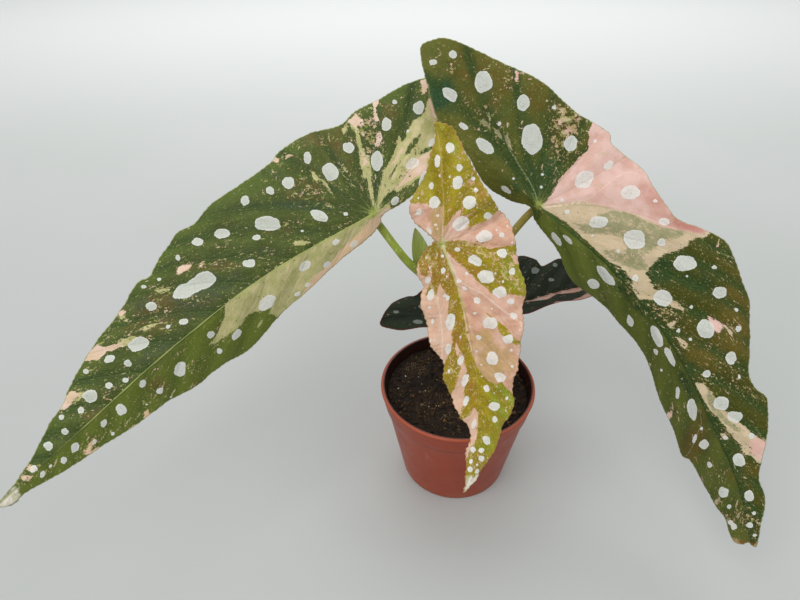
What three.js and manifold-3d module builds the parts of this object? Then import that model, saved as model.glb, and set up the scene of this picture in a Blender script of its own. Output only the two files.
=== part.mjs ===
// Polka dot begonia in a small plastic nursery pot: an angel wing begonia with three large variegated
// leaves, a low one at the back, their stalks, a cane and a stipule.
// Millimetres, +Z up. The origin is the middle of the pot's underside. -Y is the front.

import * as THREE from 'three';
import { mergeVertices } from 'three/addons/utils/BufferGeometryUtils.js';
import Module from 'manifold-3d';

const wasm = await Module();
wasm.setup();

// Driving dimensions

const GAP = 0.3; // clearance between neighbouring pieces

const POT = {
  colour: 0x9c4a35,
  height: 68, // a 9 cm nursery pot
  rimRadius: 45,
  baseRadius: 32,
  wall: 1.4,
  floor: 2,
  bandHeight: 12, // the stiffening band under the rim
  bandStep: 0.9, // how far the band stands out
  bandEase: 1, // height of the slope under the band
  outerLip: 1.2, // rounding of the rim's top edge, outside and inside
  innerLip: 0.5,
  footChamfer: 1.5,
  sides: 48,
  drainRadius: 3.5,
  drainRing: 22,
  drainCount: 6,
  drainSides: 12,
};

const SOIL = {
  colour: 0x33241b,
  level: 61.5,
  mound: 1.6, // how far its middle stands over its edge
  crumbs: 0.4, // depth of each of the waves that mix into crumbs
  // those waves as [length, direction in degrees, start in degrees]
  waves: [[7.3, 12, 0], [6.1, 71, 120], [8.6, 128, 40], [5.4, 155, 200], [10.9, 48, 310], [6.7, 97, 75]],
  edgeSink: 2, // height of its rim under its level
  calmEdge: 6, // width along the pot's wall where the crumbs fade out
  rings: 13,
  sectors: 44,
};

const CANE = {
  colour: 0x6f7a3a,
  // middle line from its foot in the soil to its growing tip, with the radius at each point
  line: [
    [1, 1, 30, 3.3], [1, 1, 45, 3.3], [1, 1, 60, 3.3], [0.4, 1, 68, 3.3], [-3, 1, 86, 3.1],
    [-8, 2, 110, 2.8], [-14, 3, 134, 2.4], [-17, 4, 145, 2.2], [-18.5, 4.5, 151, 1.3],
  ],
  joints: [67, 87, 112, 136], // heights of its swollen joints
  swelling: 0.55,
  swellingLength: 3,
  sides: 12,
  steps: 32,
};

const BLADE_THICKNESS = 0.8;
const RIB = { height: 1.3, width: 2.4 }; // midrib under a large blade

// Each blade is drawn flat in its own (u, v): u runs from the stalk's joint to the tip and v is across. The
// outline goes round from the tip over side A (+v), the basal lobe and the notch at the stalk to side B.
// spine holds the midrib in space as [u, x, y, z], carried on behind the joint under the lobe. across is
// the direction of +v, and fold is how far each half drops from it, in degrees, at stations [u, angle].
// curl is the bend of each half, in degrees for each millimetre. slant is how far a side vein runs towards
// the tip for each millimetre across. pleat and wave are the depths of the pleats along the side veins
// and of the waves along the edge.

const BLADES = {
  blade_left: {
    colour: 0x3c4f24,
    spine: [
      [-60, 5, 26, 198], [0, -45, 3, 178], [60, -96.5, -20, 158], [115, -139.5, -45.5, 135],
      [172, -181, -75, 109], [215, -212, -96, 89.5],
    ],
    across: [[-0.58, 0.52, 0.63], [-0.5, 0.6, 0.6]],
    foldA: [[-20, 0], [0, 2]],
    foldB: [[-20, 0], [0, 38], [100, 46], [215, 36]],
    curlA: 0.23,
    curlB: 0.115,
    outlineA: [
      [203, 1.5], [187, 7], [172, 11.5], [157, 19.5], [145, 23.5], [129, 28], [117, 31.5], [99, 35],
      [87, 41], [80, 44], [72, 42.5], [62, 45.5], [48, 46.5], [32, 48.5], [24, 52], [5, 53.5],
      [-9, 48], [-23, 50.5], [-40, 49.5], [-55, 48.5], [-62, 44], [-57, 33], [-44, 17.5], [-34, 5],
      [-28, -1], [-18, -2.5],
    ],
    notch: [-4, -3],
    outlineB: [
      [0, -7], [9, -10.5], [24, -13.5], [42, -18.5], [58, -22], [72, -25], [84, -28], [93, -29],
      [108, -25.5], [119, -25], [134, -20.5], [149, -17.5], [164, -14], [178, -11], [192, -7.5],
      [204, -4.5],
    ],
    slant: 0.5,
    steps: 6,
    pleat: 0.9,
    wave: 1.0,
    waveLength: 38,
  },
  blade_right: {
    colour: 0x414b26,
    spine: [
      [-88, -34, 36, 225], [0, 35, 6.5, 179], [48, 71, -11, 152.5], [94.5, 99.5, -32, 122.5],
      [140, 120, -55, 89], [176, 133.5, -73.5, 62.5], [205, 139.5, -90, 39.5],
    ],
    across: [[0.85, 0.2, 0.45], [0.85, 0.2, 0.45]],
    foldA: [[-20, 0], [0, 2]],
    foldB: [[-40, 0], [0, 52], [70, 61], [205, 60]],
    curlA: 0.115,
    curlB: 0,
    outlineA: [
      [204, 2.5], [195, 5.5], [183, 11], [174, 10.5], [165, 15], [152, 24], [140, 29.5], [131, 26],
      [123, 26.5], [108, 36], [97, 43.5], [88, 45], [79, 48.5], [71, 50.5], [61, 45.5], [50, 39],
      [36, 42], [28, 45.5], [10, 44.5], [3, 48], [-15, 45.5], [-34, 46], [-56, 42], [-80, 36],
      [-88, 31], [-91, 24], [-80, 14], [-65, 3], [-52, 1], [-42, -2.5], [-26, -8.5], [-11, -7.5],
    ],
    notch: [-3, -4],
    outlineB: [
      [3, -8], [11, -11.5], [25, -17.5], [37, -24.5], [48, -27.5], [62, -25], [86, -21], [101, -22],
      [118, -25], [132, -26.5], [146, -28], [158, -28], [166, -23], [177, -22], [188, -18],
      [193, -13.5], [201, -10],
    ],
    slant: 0.5,
    steps: 6,
    pleat: 0.9,
    wave: 1.2,
    waveLength: 42,
  },
  blade_centre: {
    colour: 0xa08a4a,
    spine: [
      [-50, -36.5, -10, 219], [0, -14, -24.5, 177], [34.5, -3, -35.5, 146.5], [65, 2.5, -46.5, 119],
      [100, 4.5, -60, 86], [130, -3, -71, 60],
    ],
    across: [[1, 0, 0.15], [1, 0, 0]],
    foldA: [[-10, 0], [0, 15]],
    foldB: [[-10, 0], [0, 20]],
    curlA: 0,
    curlB: 0,
    outlineA: [
      [121, 4.5], [110, 7.5], [100, 10.5], [91, 13], [84, 18], [73, 18.5], [64, 22.5], [52, 25],
      [40, 29], [33, 31], [27, 30.5], [11, 32.5], [1, 32], [-4, 29], [-18, 27], [-30, 26.5], [-42, 26],
      [-48, 21], [-37, 14], [-28, 1.5], [-23, -5], [-17, -7.5], [-10, -5.5],
    ],
    notch: [-3, -2.5],
    outlineB: [
      [0, -8.5], [5, -14.5], [11, -16.5], [18, -16.5], [24, -19.5], [38, -21], [47, -20.5],
      [53, -19.5], [60, -16], [69, -16.5], [78, -14], [90, -9], [98, -4.5], [108, -5], [120, -1.5],
    ],
    slant: 0.5,
    steps: 5,
    pleat: 0.7,
    wave: 0.9,
    waveLength: 20,
  },
  blade_back: {
    colour: 0x2b3826,
    spine: [
      [-55, -46, 6, 103], [0, 5, 22, 100], [40, 42, 34, 100], [80, 78, 51, 97], [120, 112, 68, 88],
    ],
    across: [[-0.3, 0.95, 0.05], [-0.4, 0.9, 0]],
    foldA: [[-25, 0], [0, -14]],
    foldB: [[-25, 0], [0, -22]],
    curlA: 0,
    curlB: 0,
    outlineA: [
      [112, 6], [98, 17], [85, 26], [76, 25], [68, 23], [66, 29], [60, 34.5], [50, 36], [30, 35.5],
      [10, 33], [-8, 29], [-17, 26.5], [-23, 24], [-29, 25.5], [-38, 22], [-47, 12.5], [-52, 5],
      [-48, 0], [-40, -5], [-28, -4], [-14, -5],
    ],
    notch: [-3, -3],
    outlineB: [
      [3, -8], [12, -14], [32, -17], [50, -16], [60, -15], [68, -20], [82, -19], [98, -13], [110, -6],
    ],
    slant: 0.5,
    steps: 4,
    pleat: 0.8,
    wave: 0.8,
    waveLength: 30,
  },
};

const STATION = 5.6; // spacing of the side veins' rows along a midrib
const FAN_STEP = 8; // spacing of rows along the edge of the lobe, which fan out from the stalk's joint
const VEIN_SPACING = 22.4; // one pleat for each side vein
const FAN_VEIN_SPACING = 30; // the same along the edge of the lobe
const FULL_RELIEF_REACH = 25; // half blades narrower than this have shallower pleats and waves
const HOLE_PLAY = 0.5; // between the cane and the hole that it stands in
const EDGE_STEPS = 12; // steps between two points of a blade's outline
const SLIVER = 0.02; // slivers thinner than this are left out after a cut
const PROBE = 0.5; // distance along a spine over which its direction is read

// A stalk runs from the cane's middle line to its blade's joint: points as [x, y, z, radius].
const STALKS = {
  stalk_left: {
    colour: 0x7f9c3c,
    line: [
      [-14.5, 3, 136, 2.6], [-28, 1.5, 150, 2.1], [-36, 5, 159.5, 2.0], [-43, 9.5, 168, 2.0],
      [-46, 8.2, 172.8, 1.9], [-46.2, 5.2, 175, 1.8], [-46.1, 3.1, 176.8, 1.7],
    ],
    blade: 'blade_left',
  },
  stalk_right: {
    colour: 0x7d7a35,
    line: [
      [-8.5, 2, 112, 2.5], [6, 0, 138, 2.0], [22.5, 5, 163, 1.9], [32, 12, 171, 1.9],
      [35.3, 12, 174.5, 1.8], [36.2, 9.5, 176.3, 1.7], [36, 6.9, 177.9, 1.6],
    ],
    blade: 'blade_right',
  },
  stalk_centre: {
    colour: 0xa3a04c,
    line: [
      [-16.5, 3.8, 144, 1.9], [-16.5, -2, 158, 1.6], [-15.5, -13, 170, 1.6], [-14.5, -20, 175, 1.7],
      [-14, -23.5, 176.7, 1.7],
    ],
    blade: 'blade_centre',
  },
  stalk_back: {
    colour: 0x5f6b33,
    line: [
      [-3, 1, 86, 2.3], [-0.5, 8, 89, 1.9], [2.5, 16, 91, 1.8], [4.6, 21, 95, 1.8], [5, 22, 99, 1.8],
    ],
    blade: 'blade_back',
  },
};
// slabs that leave room for a blade above its stalk, and how far they pass under the midrib
const SEAT = { length: 12, width: 9, past: 1 };
const STALK_SIDES = 10;
const STALK_STEPS = 14;

// The stipule is a thin cupped scale that stands on the cane's top joint.
const STIPULE = {
  colour: 0x93b15f,
  foot: [-17.5, 7.5, 140],
  top: [-22, 6, 168],
  across: [0.95, 0.3, 0],
  width: 11,
  footShare: 0.12, // how far along its outline the scale starts
  bluntness: 0.7, // lower is blunter
  taper: 0.25,
  cup: 2.2,
  thickness: 0.6,
  rows: 9,
  columns: 6,
};

// Small helpers

const { abs, PI, cos, exp, sin, sqrt, min, max, round, hypot } = Math;
const radians = THREE.MathUtils.degToRad;
const vec = (p) => new THREE.Vector3(p[0], p[1], p[2]);

function closedGeometry(positions, triangles) {
  const geometry = new THREE.BufferGeometry();
  const numbers = positions.flatMap((p) => [p.x, p.y, p.z]);
  geometry.setAttribute('position', new THREE.Float32BufferAttribute(numbers, 3));
  geometry.setIndex(triangles.flat());
  return geometry;
}

function bareGeometry(geometry) {
  const bare = geometry.clone();
  bare.deleteAttribute('normal');
  bare.deleteAttribute('uv');
  return mergeVertices(bare, 1e-4);
}

function toManifold(geometry) {
  const merged = bareGeometry(geometry);
  return new wasm.Manifold(new wasm.Mesh({
    numProp: 3,
    vertProperties: new Float32Array(merged.attributes.position.array),
    triVerts: new Uint32Array(merged.index.array),
  }));
}

function toGeometry(manifold) {
  const mesh = manifold.getMesh();
  const geometry = new THREE.BufferGeometry();
  geometry.setAttribute('position', new THREE.BufferAttribute(new Float32Array(mesh.vertProperties), 3));
  geometry.setIndex(new THREE.BufferAttribute(new Uint32Array(mesh.triVerts), 1));
  return geometry;
}

// What is left of a solid after the cutters, as its largest piece.
function cutBy(geometry, cutters) {
  const cut = cutters.reduce((left, cutter) => left.subtract(toManifold(cutter)), toManifold(geometry));
  const pieces = cut.decompose().sort((a, b) => b.volume() - a.volume());
  return toGeometry(pieces[0].simplify(SLIVER));
}

// Smooth value of a table [[x, ...values]] at x, by a cubic through its rows.
function smooth(table, x, column) {
  const last = table.length - 1;
  const slope = (i) => {
    const a = max(i - 1, 0);
    const b = min(i + 1, last);
    if (a === i || b === i) return (table[b][column] - table[a][column]) / (table[b][0] - table[a][0]);
    const before = (table[i][column] - table[a][column]) / (table[i][0] - table[a][0]);
    const after = (table[b][column] - table[i][column]) / (table[b][0] - table[i][0]);
    const ha = table[i][0] - table[a][0];
    const hb = table[b][0] - table[i][0];
    return (before * hb + after * ha) / (ha + hb);
  };
  if (x <= table[0][0]) return table[0][column] + (x - table[0][0]) * slope(0);
  if (x >= table[last][0]) return table[last][column] + (x - table[last][0]) * slope(last);
  const k = table.findIndex((row, i) => i < last && x <= table[i + 1][0]);
  const h = table[k + 1][0] - table[k][0];
  const t = (x - table[k][0]) / h;
  return (2 * t ** 3 - 3 * t ** 2 + 1) * table[k][column] + (t ** 3 - 2 * t ** 2 + t) * h * slope(k)
    + (3 * t ** 2 - 2 * t ** 3) * table[k + 1][column] + (t ** 3 - t ** 2) * h * slope(k + 1);
}

// Straight-line value of a table [[x, value]], level past its ends.
function level(table, x) {
  if (x <= table[0][0]) return table[0][1];
  for (let i = 1; i < table.length; i += 1) {
    const [x0, y0] = table[i - 1];
    const [x1, y1] = table[i];
    if (x <= x1) return y0 + ((y1 - y0) * (x - x0)) / (x1 - x0);
  }
  return table[table.length - 1][1];
}

// A round bar with a changing radius along a smooth line through rows [x, y, z, radius].
function bar(rows, sides, steps, grow = 0, radiusAt = (radius) => radius) {
  const curve = new THREE.CatmullRomCurve3(rows.map(vec), false, 'centripetal');
  const frames = curve.computeFrenetFrames(steps, false);
  const table = rows.map((row, i) => [i / (rows.length - 1), row[3]]);
  const positions = [];
  const triangles = [];
  for (let i = 0; i <= steps; i += 1) {
    const centre = curve.getPointAt(i / steps);
    const along = curve.getUtoTmapping(i / steps);
    const radius = radiusAt(smooth(table, along, 1), centre) + grow;
    for (let k = 0; k < sides; k += 1) {
      const angle = (2 * PI * k) / sides;
      positions.push(centre.clone()
        .addScaledVector(frames.normals[i], radius * cos(angle))
        .addScaledVector(frames.binormals[i], radius * sin(angle)));
    }
  }
  const at = (i, k) => i * sides + (k % sides);
  for (let i = 0; i < steps; i += 1) {
    for (let k = 0; k < sides; k += 1) {
      triangles.push([at(i, k), at(i, k + 1), at(i + 1, k + 1)]);
      triangles.push([at(i, k), at(i + 1, k + 1), at(i + 1, k)]);
    }
  }
  const foot = positions.push(curve.getPointAt(0)) - 1;
  const top = positions.push(curve.getPointAt(1)) - 1;
  for (let k = 0; k < sides; k += 1) {
    triangles.push([foot, at(0, k + 1), at(0, k)], [top, at(steps, k), at(steps, k + 1)]);
  }
  return closedGeometry(positions, triangles);
}

// Leaf blades

// The smooth middle surface of a blade, at flat coordinates (u, v).
function bladePoint(spec, u, v) {
  const spine = (s) => new THREE.Vector3(...[1, 2, 3].map((column) => smooth(spec.spine, s, column)));
  const along = spine(u + PROBE).sub(spine(u - PROBE)).normalize();
  const share = THREE.MathUtils.clamp(u / lengthOf(spec), 0, 1);
  const across = vec(spec.across[0]).lerp(vec(spec.across[1]), share);
  across.addScaledVector(along, -across.dot(along)).normalize();
  const up = across.clone().cross(along);
  if (up.z < 0) up.negate();
  const side = v >= 0 ? 1 : -1;
  const fold = radians(level(v >= 0 ? spec.foldA : spec.foldB, u));
  const curl = radians(v >= 0 ? spec.curlA : spec.curlB);
  const width = abs(v);
  const out = curl === 0 ? cos(fold) * width : (sin(fold + curl * width) - sin(fold)) / curl;
  const drop = curl === 0 ? -sin(fold) * width : (cos(fold + curl * width) - cos(fold)) / curl;
  return spine(u).addScaledVector(across, side * out).addScaledVector(up, drop);
}

function lengthOf(spec) {
  return spec.spine[spec.spine.length - 1][0];
}

// The whole edge as a smooth line from the tip round to the tip, with its length so far at each point.
function edgeLine(spec) {
  const tip = [lengthOf(spec), 0];
  const points = [tip, ...spec.outlineA, spec.notch, ...spec.outlineB, tip];
  const curve = new THREE.SplineCurve(points.map((p) => new THREE.Vector2(p[0], p[1])));
  let run = 0;
  const line = curve.getPoints(points.length * EDGE_STEPS);
  return line.map((point, i) => {
    if (i > 0) run += point.distanceTo(line[i - 1]);
    return { u: point.x, v: point.y, run };
  });
}

function between(a, b, t) {
  return { u: a.u + (b.u - a.u) * t, v: a.v + (b.v - a.v) * t, run: a.run + (b.run - a.run) * t };
}

// The edge point that a side vein from this place on the midrib reaches, searched from one end of the edge.
function veinEnd(spec, edge, foot) {
  const station = (p) => p.u - spec.slant * abs(p.v);
  const k = edge.findIndex((p, i) => i > 0 && station(p) <= foot);
  const a = station(edge[k - 1]);
  const b = station(edge[k]);
  return between(edge[k - 1], edge[k], (foot - a) / (b - a));
}

// Rows of the blade from the tip round to the tip: side veins from the midrib on side A, a fan round the
// stalk's joint, then side veins on side B.
function bladeRows(spec) {
  const length = lengthOf(spec);
  const count = round(length / STATION);
  const feet = Array.from({ length: count }, (_, i) => (length * i) / count);
  const edge = edgeLine(spec);
  const veinRows = (line) => feet.map((foot) => (
    { foot, end: veinEnd(spec, line, foot), phase: foot / VEIN_SPACING }
  ));
  const rowsA = veinRows(edge);
  const rowsB = veinRows(edge.slice().reverse());
  const from = rowsA[0].end.run;
  const to = rowsB[0].end.run;
  const fanCount = round((to - from) / FAN_STEP);
  const fan = [];
  for (let i = 1; i < fanCount; i += 1) {
    const run = from + ((to - from) * i) / fanCount;
    const k = edge.findIndex((p) => p.run >= run);
    const end = between(edge[k - 1], edge[k], (run - edge[k - 1].run) / (edge[k].run - edge[k - 1].run));
    fan.push({ foot: 0, end, phase: (from - run) / FAN_VEIN_SPACING });
  }
  return [...rowsA.reverse(), ...fan, ...rowsB];
}

// A blade as a closed sheet. Both of its faces are split into the same triangles.
function bladeGeometry(spec) {
  const length = lengthOf(spec);
  const middle = [];
  const faces = [];
  const addPoint = (u, v, lift, rib) => middle.push({ point: bladePoint(spec, u, v), lift, rib }) - 1;
  const tip = addPoint(length, 0, 0, 0);
  const onSpine = new Map();
  const rows = bladeRows(spec).map(({ foot, end, phase }) => {
    if (!onSpine.has(foot)) onSpine.set(foot, addPoint(foot, 0, 0, RIB.height * sqrt(1 - foot / length)));
    const line = [onSpine.get(foot)];
    const reach = hypot(end.u - foot, end.v);
    const first = min(RIB.width / reach, 1 / spec.steps);
    const depth = min(1, reach / FULL_RELIEF_REACH);
    for (let j = 1; j <= spec.steps; j += 1) {
      const s = first + ((1 - first) * (j - 1)) / (spec.steps - 1);
      const pleat = -spec.pleat * cos(2 * PI * phase) * sin(PI * s);
      const wave = spec.wave * sin((2 * PI * end.run) / spec.waveLength) * s * s;
      line.push(addPoint(foot + (end.u - foot) * s, end.v * s, (pleat + wave) * depth, 0));
    }
    return line;
  });
  const last = rows.length - 1;
  for (let j = 0; j < spec.steps; j += 1) {
    faces.push([tip, rows[0][j], rows[0][j + 1]], [tip, rows[last][j + 1], rows[last][j]]);
    for (let i = 0; i < last; i += 1) {
      const [a, b, c, d] = [rows[i][j], rows[i][j + 1], rows[i + 1][j], rows[i + 1][j + 1]];
      if (a !== c) faces.push([a, c, d]);
      faces.push([a, d, b]);
    }
  }
  const normals = middle.map(() => new THREE.Vector3());
  const raise = (sheet) => {
    normals.forEach((normal) => normal.set(0, 0, 0));
    for (const [a, b, c] of faces) {
      const normal = sheet[b].clone().sub(sheet[a]).cross(sheet[c].clone().sub(sheet[a]));
      [a, b, c].forEach((index) => normals[index].add(normal));
    }
    normals.forEach((normal) => normal.normalize());
  };
  const smoothSheet = middle.map(({ point }) => point);
  raise(smoothSheet);
  const upward = normals[onSpine.get(0)].z > 0 ? 1 : -1;
  const sheet = middle.map(({ point, lift }, i) => (
    point.clone().addScaledVector(normals[i], lift * upward)
  ));
  raise(sheet);
  const half = BLADE_THICKNESS / 2;
  const top = sheet.map((point, i) => point.clone().addScaledVector(normals[i], half * upward));
  const under = sheet.map((point, i) => (
    point.clone().addScaledVector(normals[i], -(half + middle[i].rib) * upward)
  ));
  const count = sheet.length;
  const turned = upward > 0 ? faces : faces.map(([a, b, c]) => [a, c, b]);
  const triangles = [...turned, ...turned.map(([a, b, c]) => [a + count, c + count, b + count])];
  const edge = [tip, ...rows.map((line) => line[spec.steps])];
  edge.forEach((a, i) => {
    const b = edge[(i + 1) % edge.length];
    const [p, q] = upward > 0 ? [b, a] : [a, b];
    triangles.push([p, p + count, q + count], [p, q + count, q]);
  });
  return closedGeometry([...top, ...under], triangles);
}

// Cane, stalks and stipule

function caneGeometry(grow = 0) {
  const swollen = (radius, centre) => CANE.joints.reduce((sum, height) => {
    const away = (centre.z - height) / CANE.swellingLength;
    return sum + CANE.swelling * exp(-away * away);
  }, radius);
  return bar(CANE.line, CANE.sides, CANE.steps, grow, swollen);
}

// A slab on one half of a blade at its joint, thick enough to hold the blade, its midrib and a gap.
function seatSlab(blade, side) {
  const joint = bladePoint(blade, 0, 0);
  const along = bladePoint(blade, PROBE, 0).sub(joint).normalize();
  const out = bladePoint(blade, 0, side).sub(joint).normalize();
  const turn = new THREE.Matrix4().makeBasis(along, out, along.clone().cross(out)).setPosition(joint);
  const thickness = 2 * (BLADE_THICKNESS / 2 + RIB.height + GAP);
  return new THREE.BoxGeometry(SEAT.length, SEAT.width, thickness)
    .translate(0, SEAT.width / 2 - SEAT.past, 0).applyMatrix4(turn);
}

function stalkGeometry(spec) {
  const blade = BLADES[spec.blade];
  const whole = bar(spec.line, STALK_SIDES, STALK_STEPS);
  return cutBy(whole, [caneGeometry(GAP), seatSlab(blade, 1), seatSlab(blade, -1)]);
}

function stipuleGeometry() {
  const foot = vec(STIPULE.foot);
  const axis = vec(STIPULE.top).sub(foot);
  const across = vec(STIPULE.across).normalize();
  const out = across.clone().cross(axis).normalize();
  const { rows, columns, thickness, footShare } = STIPULE;
  const place = (i, k, face) => {
    const along = i / rows;
    const side = (2 * k) / columns - 1;
    const outline = sin(PI * min(1, footShare + (1 - footShare) * along)) ** STIPULE.bluntness;
    const breadth = outline * (1 - STIPULE.taper * along);
    return foot.clone().addScaledVector(axis, along)
      .addScaledVector(across, side * breadth * (STIPULE.width / 2))
      .addScaledVector(out, STIPULE.cup * side * side * breadth + face * (thickness / 2));
  };
  const positions = [];
  const triangles = [];
  const at = (face, i, k) => (face * (rows + 1) + i) * (columns + 1) + k;
  for (const face of [-1, 1]) {
    for (let i = 0; i <= rows; i += 1) {
      for (let k = 0; k <= columns; k += 1) positions.push(place(i, k, face));
    }
  }
  const quad = (a, b, c, d) => triangles.push([a, b, c], [a, c, d]);
  for (let i = 0; i < rows; i += 1) {
    for (let k = 0; k < columns; k += 1) {
      quad(at(1, i, k), at(1, i, k + 1), at(1, i + 1, k + 1), at(1, i + 1, k));
      quad(at(0, i, k), at(0, i + 1, k), at(0, i + 1, k + 1), at(0, i, k + 1));
    }
    quad(at(0, i, 0), at(1, i, 0), at(1, i + 1, 0), at(0, i + 1, 0));
    quad(at(1, i, columns), at(0, i, columns), at(0, i + 1, columns), at(1, i + 1, columns));
  }
  for (let k = 0; k < columns; k += 1) {
    quad(at(0, 0, k), at(0, 0, k + 1), at(1, 0, k + 1), at(1, 0, k));
    quad(at(1, rows, k), at(1, rows, k + 1), at(0, rows, k + 1), at(0, rows, k));
  }
  return cutBy(closedGeometry(positions, triangles), [caneGeometry(GAP)]);
}

// Pot and soil

function innerRadius(z) {
  const taper = (POT.rimRadius - POT.bandStep - POT.baseRadius) / POT.height;
  return POT.baseRadius + taper * z - POT.wall;
}

function potGeometry() {
  const outerRadius = (z) => innerRadius(z) + POT.wall;
  const top = POT.height;
  const step = top - POT.bandHeight;
  // three points of a rounded top edge, whose solid side is inwards (1) or outwards (-1)
  const rounded = (radius, size, inwards) => [0, PI / 4, PI / 2].map((angle) => [
    radius - inwards * size * (1 - cos(angle)), top - size * (1 - sin(angle)),
  ]);
  const profile = [
    [0, 0],
    [POT.baseRadius - POT.footChamfer, 0],
    [POT.baseRadius, POT.footChamfer],
    [outerRadius(step - POT.bandEase), step - POT.bandEase],
    [outerRadius(step) + POT.bandStep, step],
    ...rounded(POT.rimRadius, POT.outerLip, 1),
    ...rounded(innerRadius(top), POT.innerLip, -1).reverse(),
    [innerRadius(POT.floor), POT.floor],
    [0, POT.floor],
  ];
  const points = profile.map(([x, y]) => new THREE.Vector2(x, y));
  const body = new THREE.LatheGeometry(points, POT.sides).rotateX(PI / 2);
  const drains = Array.from({ length: POT.drainCount }, (_, i) => {
    const angle = (2 * PI * (i + 0.5)) / POT.drainCount;
    return new THREE.CylinderGeometry(POT.drainRadius, POT.drainRadius, 3 * POT.floor, POT.drainSides)
      .rotateX(PI / 2).translate(POT.drainRing * cos(angle), POT.drainRing * sin(angle), 0);
  });
  return cutBy(body, drains);
}

// Height of the soil's rough top.
function soilHeight(x, y) {
  const rim = innerRadius(SOIL.level);
  const away = hypot(x, y);
  const crumbs = SOIL.waves.reduce((sum, [length, direction, start]) => {
    const run = x * cos(radians(direction)) + y * sin(radians(direction));
    return sum + sin((2 * PI * run) / length + radians(start));
  }, 0);
  const calm = min(1, (rim - away) / SOIL.calmEdge);
  return SOIL.level + SOIL.mound * (1 - (away / rim) ** 2) + SOIL.crumbs * crumbs * calm;
}

function soilGeometry() {
  const { rings, sectors } = SOIL;
  const edge = innerRadius(SOIL.level - SOIL.edgeSink) - GAP;
  const bottom = POT.floor + GAP;
  const positions = [new THREE.Vector3(0, 0, soilHeight(0, 0))];
  const triangles = [];
  // every other ring is turned by half a sector
  const angleAt = (i, k) => (2 * PI * (k + 0.5 * (i % 2))) / sectors;
  for (let i = 1; i <= rings; i += 1) {
    for (let k = 0; k < sectors; k += 1) {
      const x = ((edge * i) / rings) * cos(angleAt(i, k));
      const y = ((edge * i) / rings) * sin(angleAt(i, k));
      positions.push(new THREE.Vector3(x, y, soilHeight(x, y)));
    }
  }
  const foot = positions.length;
  for (let k = 0; k < sectors; k += 1) {
    const radius = innerRadius(bottom) - GAP;
    const angle = angleAt(rings, k);
    positions.push(new THREE.Vector3(radius * cos(angle), radius * sin(angle), bottom));
  }
  const centre = positions.push(new THREE.Vector3(0, 0, bottom)) - 1;
  const ring = (i, k) => 1 + (i - 1) * sectors + (k % sectors);
  for (let k = 0; k < sectors; k += 1) {
    triangles.push([0, ring(1, k), ring(1, k + 1)]);
    for (let i = 1; i < rings; i += 1) {
      const outer = k + (i % 2);
      triangles.push([ring(i, k), ring(i + 1, outer), ring(i, k + 1)]);
      triangles.push([ring(i + 1, outer), ring(i + 1, outer + 1), ring(i, k + 1)]);
    }
    const [a, b] = [ring(rings, k), ring(rings, k + 1)];
    const [c, d] = [foot + k, foot + ((k + 1) % sectors)];
    triangles.push([a, c, d], [a, d, b], [centre, d, c]);
  }
  const [x, y, low, radius] = CANE.line[0];
  const depth = 2 * (SOIL.level - low);
  const hole = new THREE.CylinderGeometry(radius + HOLE_PLAY, radius + HOLE_PLAY, depth, CANE.sides)
    .rotateX(PI / 2).translate(x, y, low - GAP + depth / 2);
  return cutBy(closedGeometry(positions, triangles), [hole]);
}

// The plant

function piece(name, geometry, color, roughness) {
  const mesh = new THREE.Mesh(geometry, new THREE.MeshStandardMaterial({ color, roughness, metalness: 0 }));
  mesh.name = name;
  return mesh;
}

const begonia = new THREE.Group();
begonia.add(piece('pot', potGeometry(), POT.colour, 0.45));
begonia.add(piece('soil', soilGeometry(), SOIL.colour, 0.95));
begonia.add(piece('cane', caneGeometry(), CANE.colour, 0.5));
begonia.add(piece('stipule', stipuleGeometry(), STIPULE.colour, 0.5));
for (const [name, spec] of Object.entries(STALKS)) {
  begonia.add(piece(name, stalkGeometry(spec), spec.colour, 0.45));
}
for (const [name, spec] of Object.entries(BLADES)) {
  begonia.add(piece(name, bladeGeometry(spec), spec.colour, 0.5));
}

export default begonia;
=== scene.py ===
import math

import bpy
import numpy as np
from mathutils import Matrix, Vector
from mathutils.geometry import delaunay_2d_cdt
from mathutils.kdtree import KDTree


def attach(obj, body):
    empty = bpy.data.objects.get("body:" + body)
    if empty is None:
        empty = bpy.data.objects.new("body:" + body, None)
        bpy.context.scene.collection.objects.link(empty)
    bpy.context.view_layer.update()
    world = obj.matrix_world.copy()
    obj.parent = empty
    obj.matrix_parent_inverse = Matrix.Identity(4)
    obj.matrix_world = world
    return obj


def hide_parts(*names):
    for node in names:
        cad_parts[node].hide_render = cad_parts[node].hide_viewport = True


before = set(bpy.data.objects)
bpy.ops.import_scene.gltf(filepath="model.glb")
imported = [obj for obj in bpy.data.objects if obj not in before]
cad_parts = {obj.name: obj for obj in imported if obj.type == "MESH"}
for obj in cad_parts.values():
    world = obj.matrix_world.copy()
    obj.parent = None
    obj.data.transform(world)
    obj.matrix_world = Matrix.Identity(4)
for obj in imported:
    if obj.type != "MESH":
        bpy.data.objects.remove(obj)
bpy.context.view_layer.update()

# Millimetres in the tables below, metres in Blender. Leaf places are (u, v): u runs along the midrib from
# the stalk's joint to the tip and v is across, as in the CAD.
MM = 0.001

# Sizes and places

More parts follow.
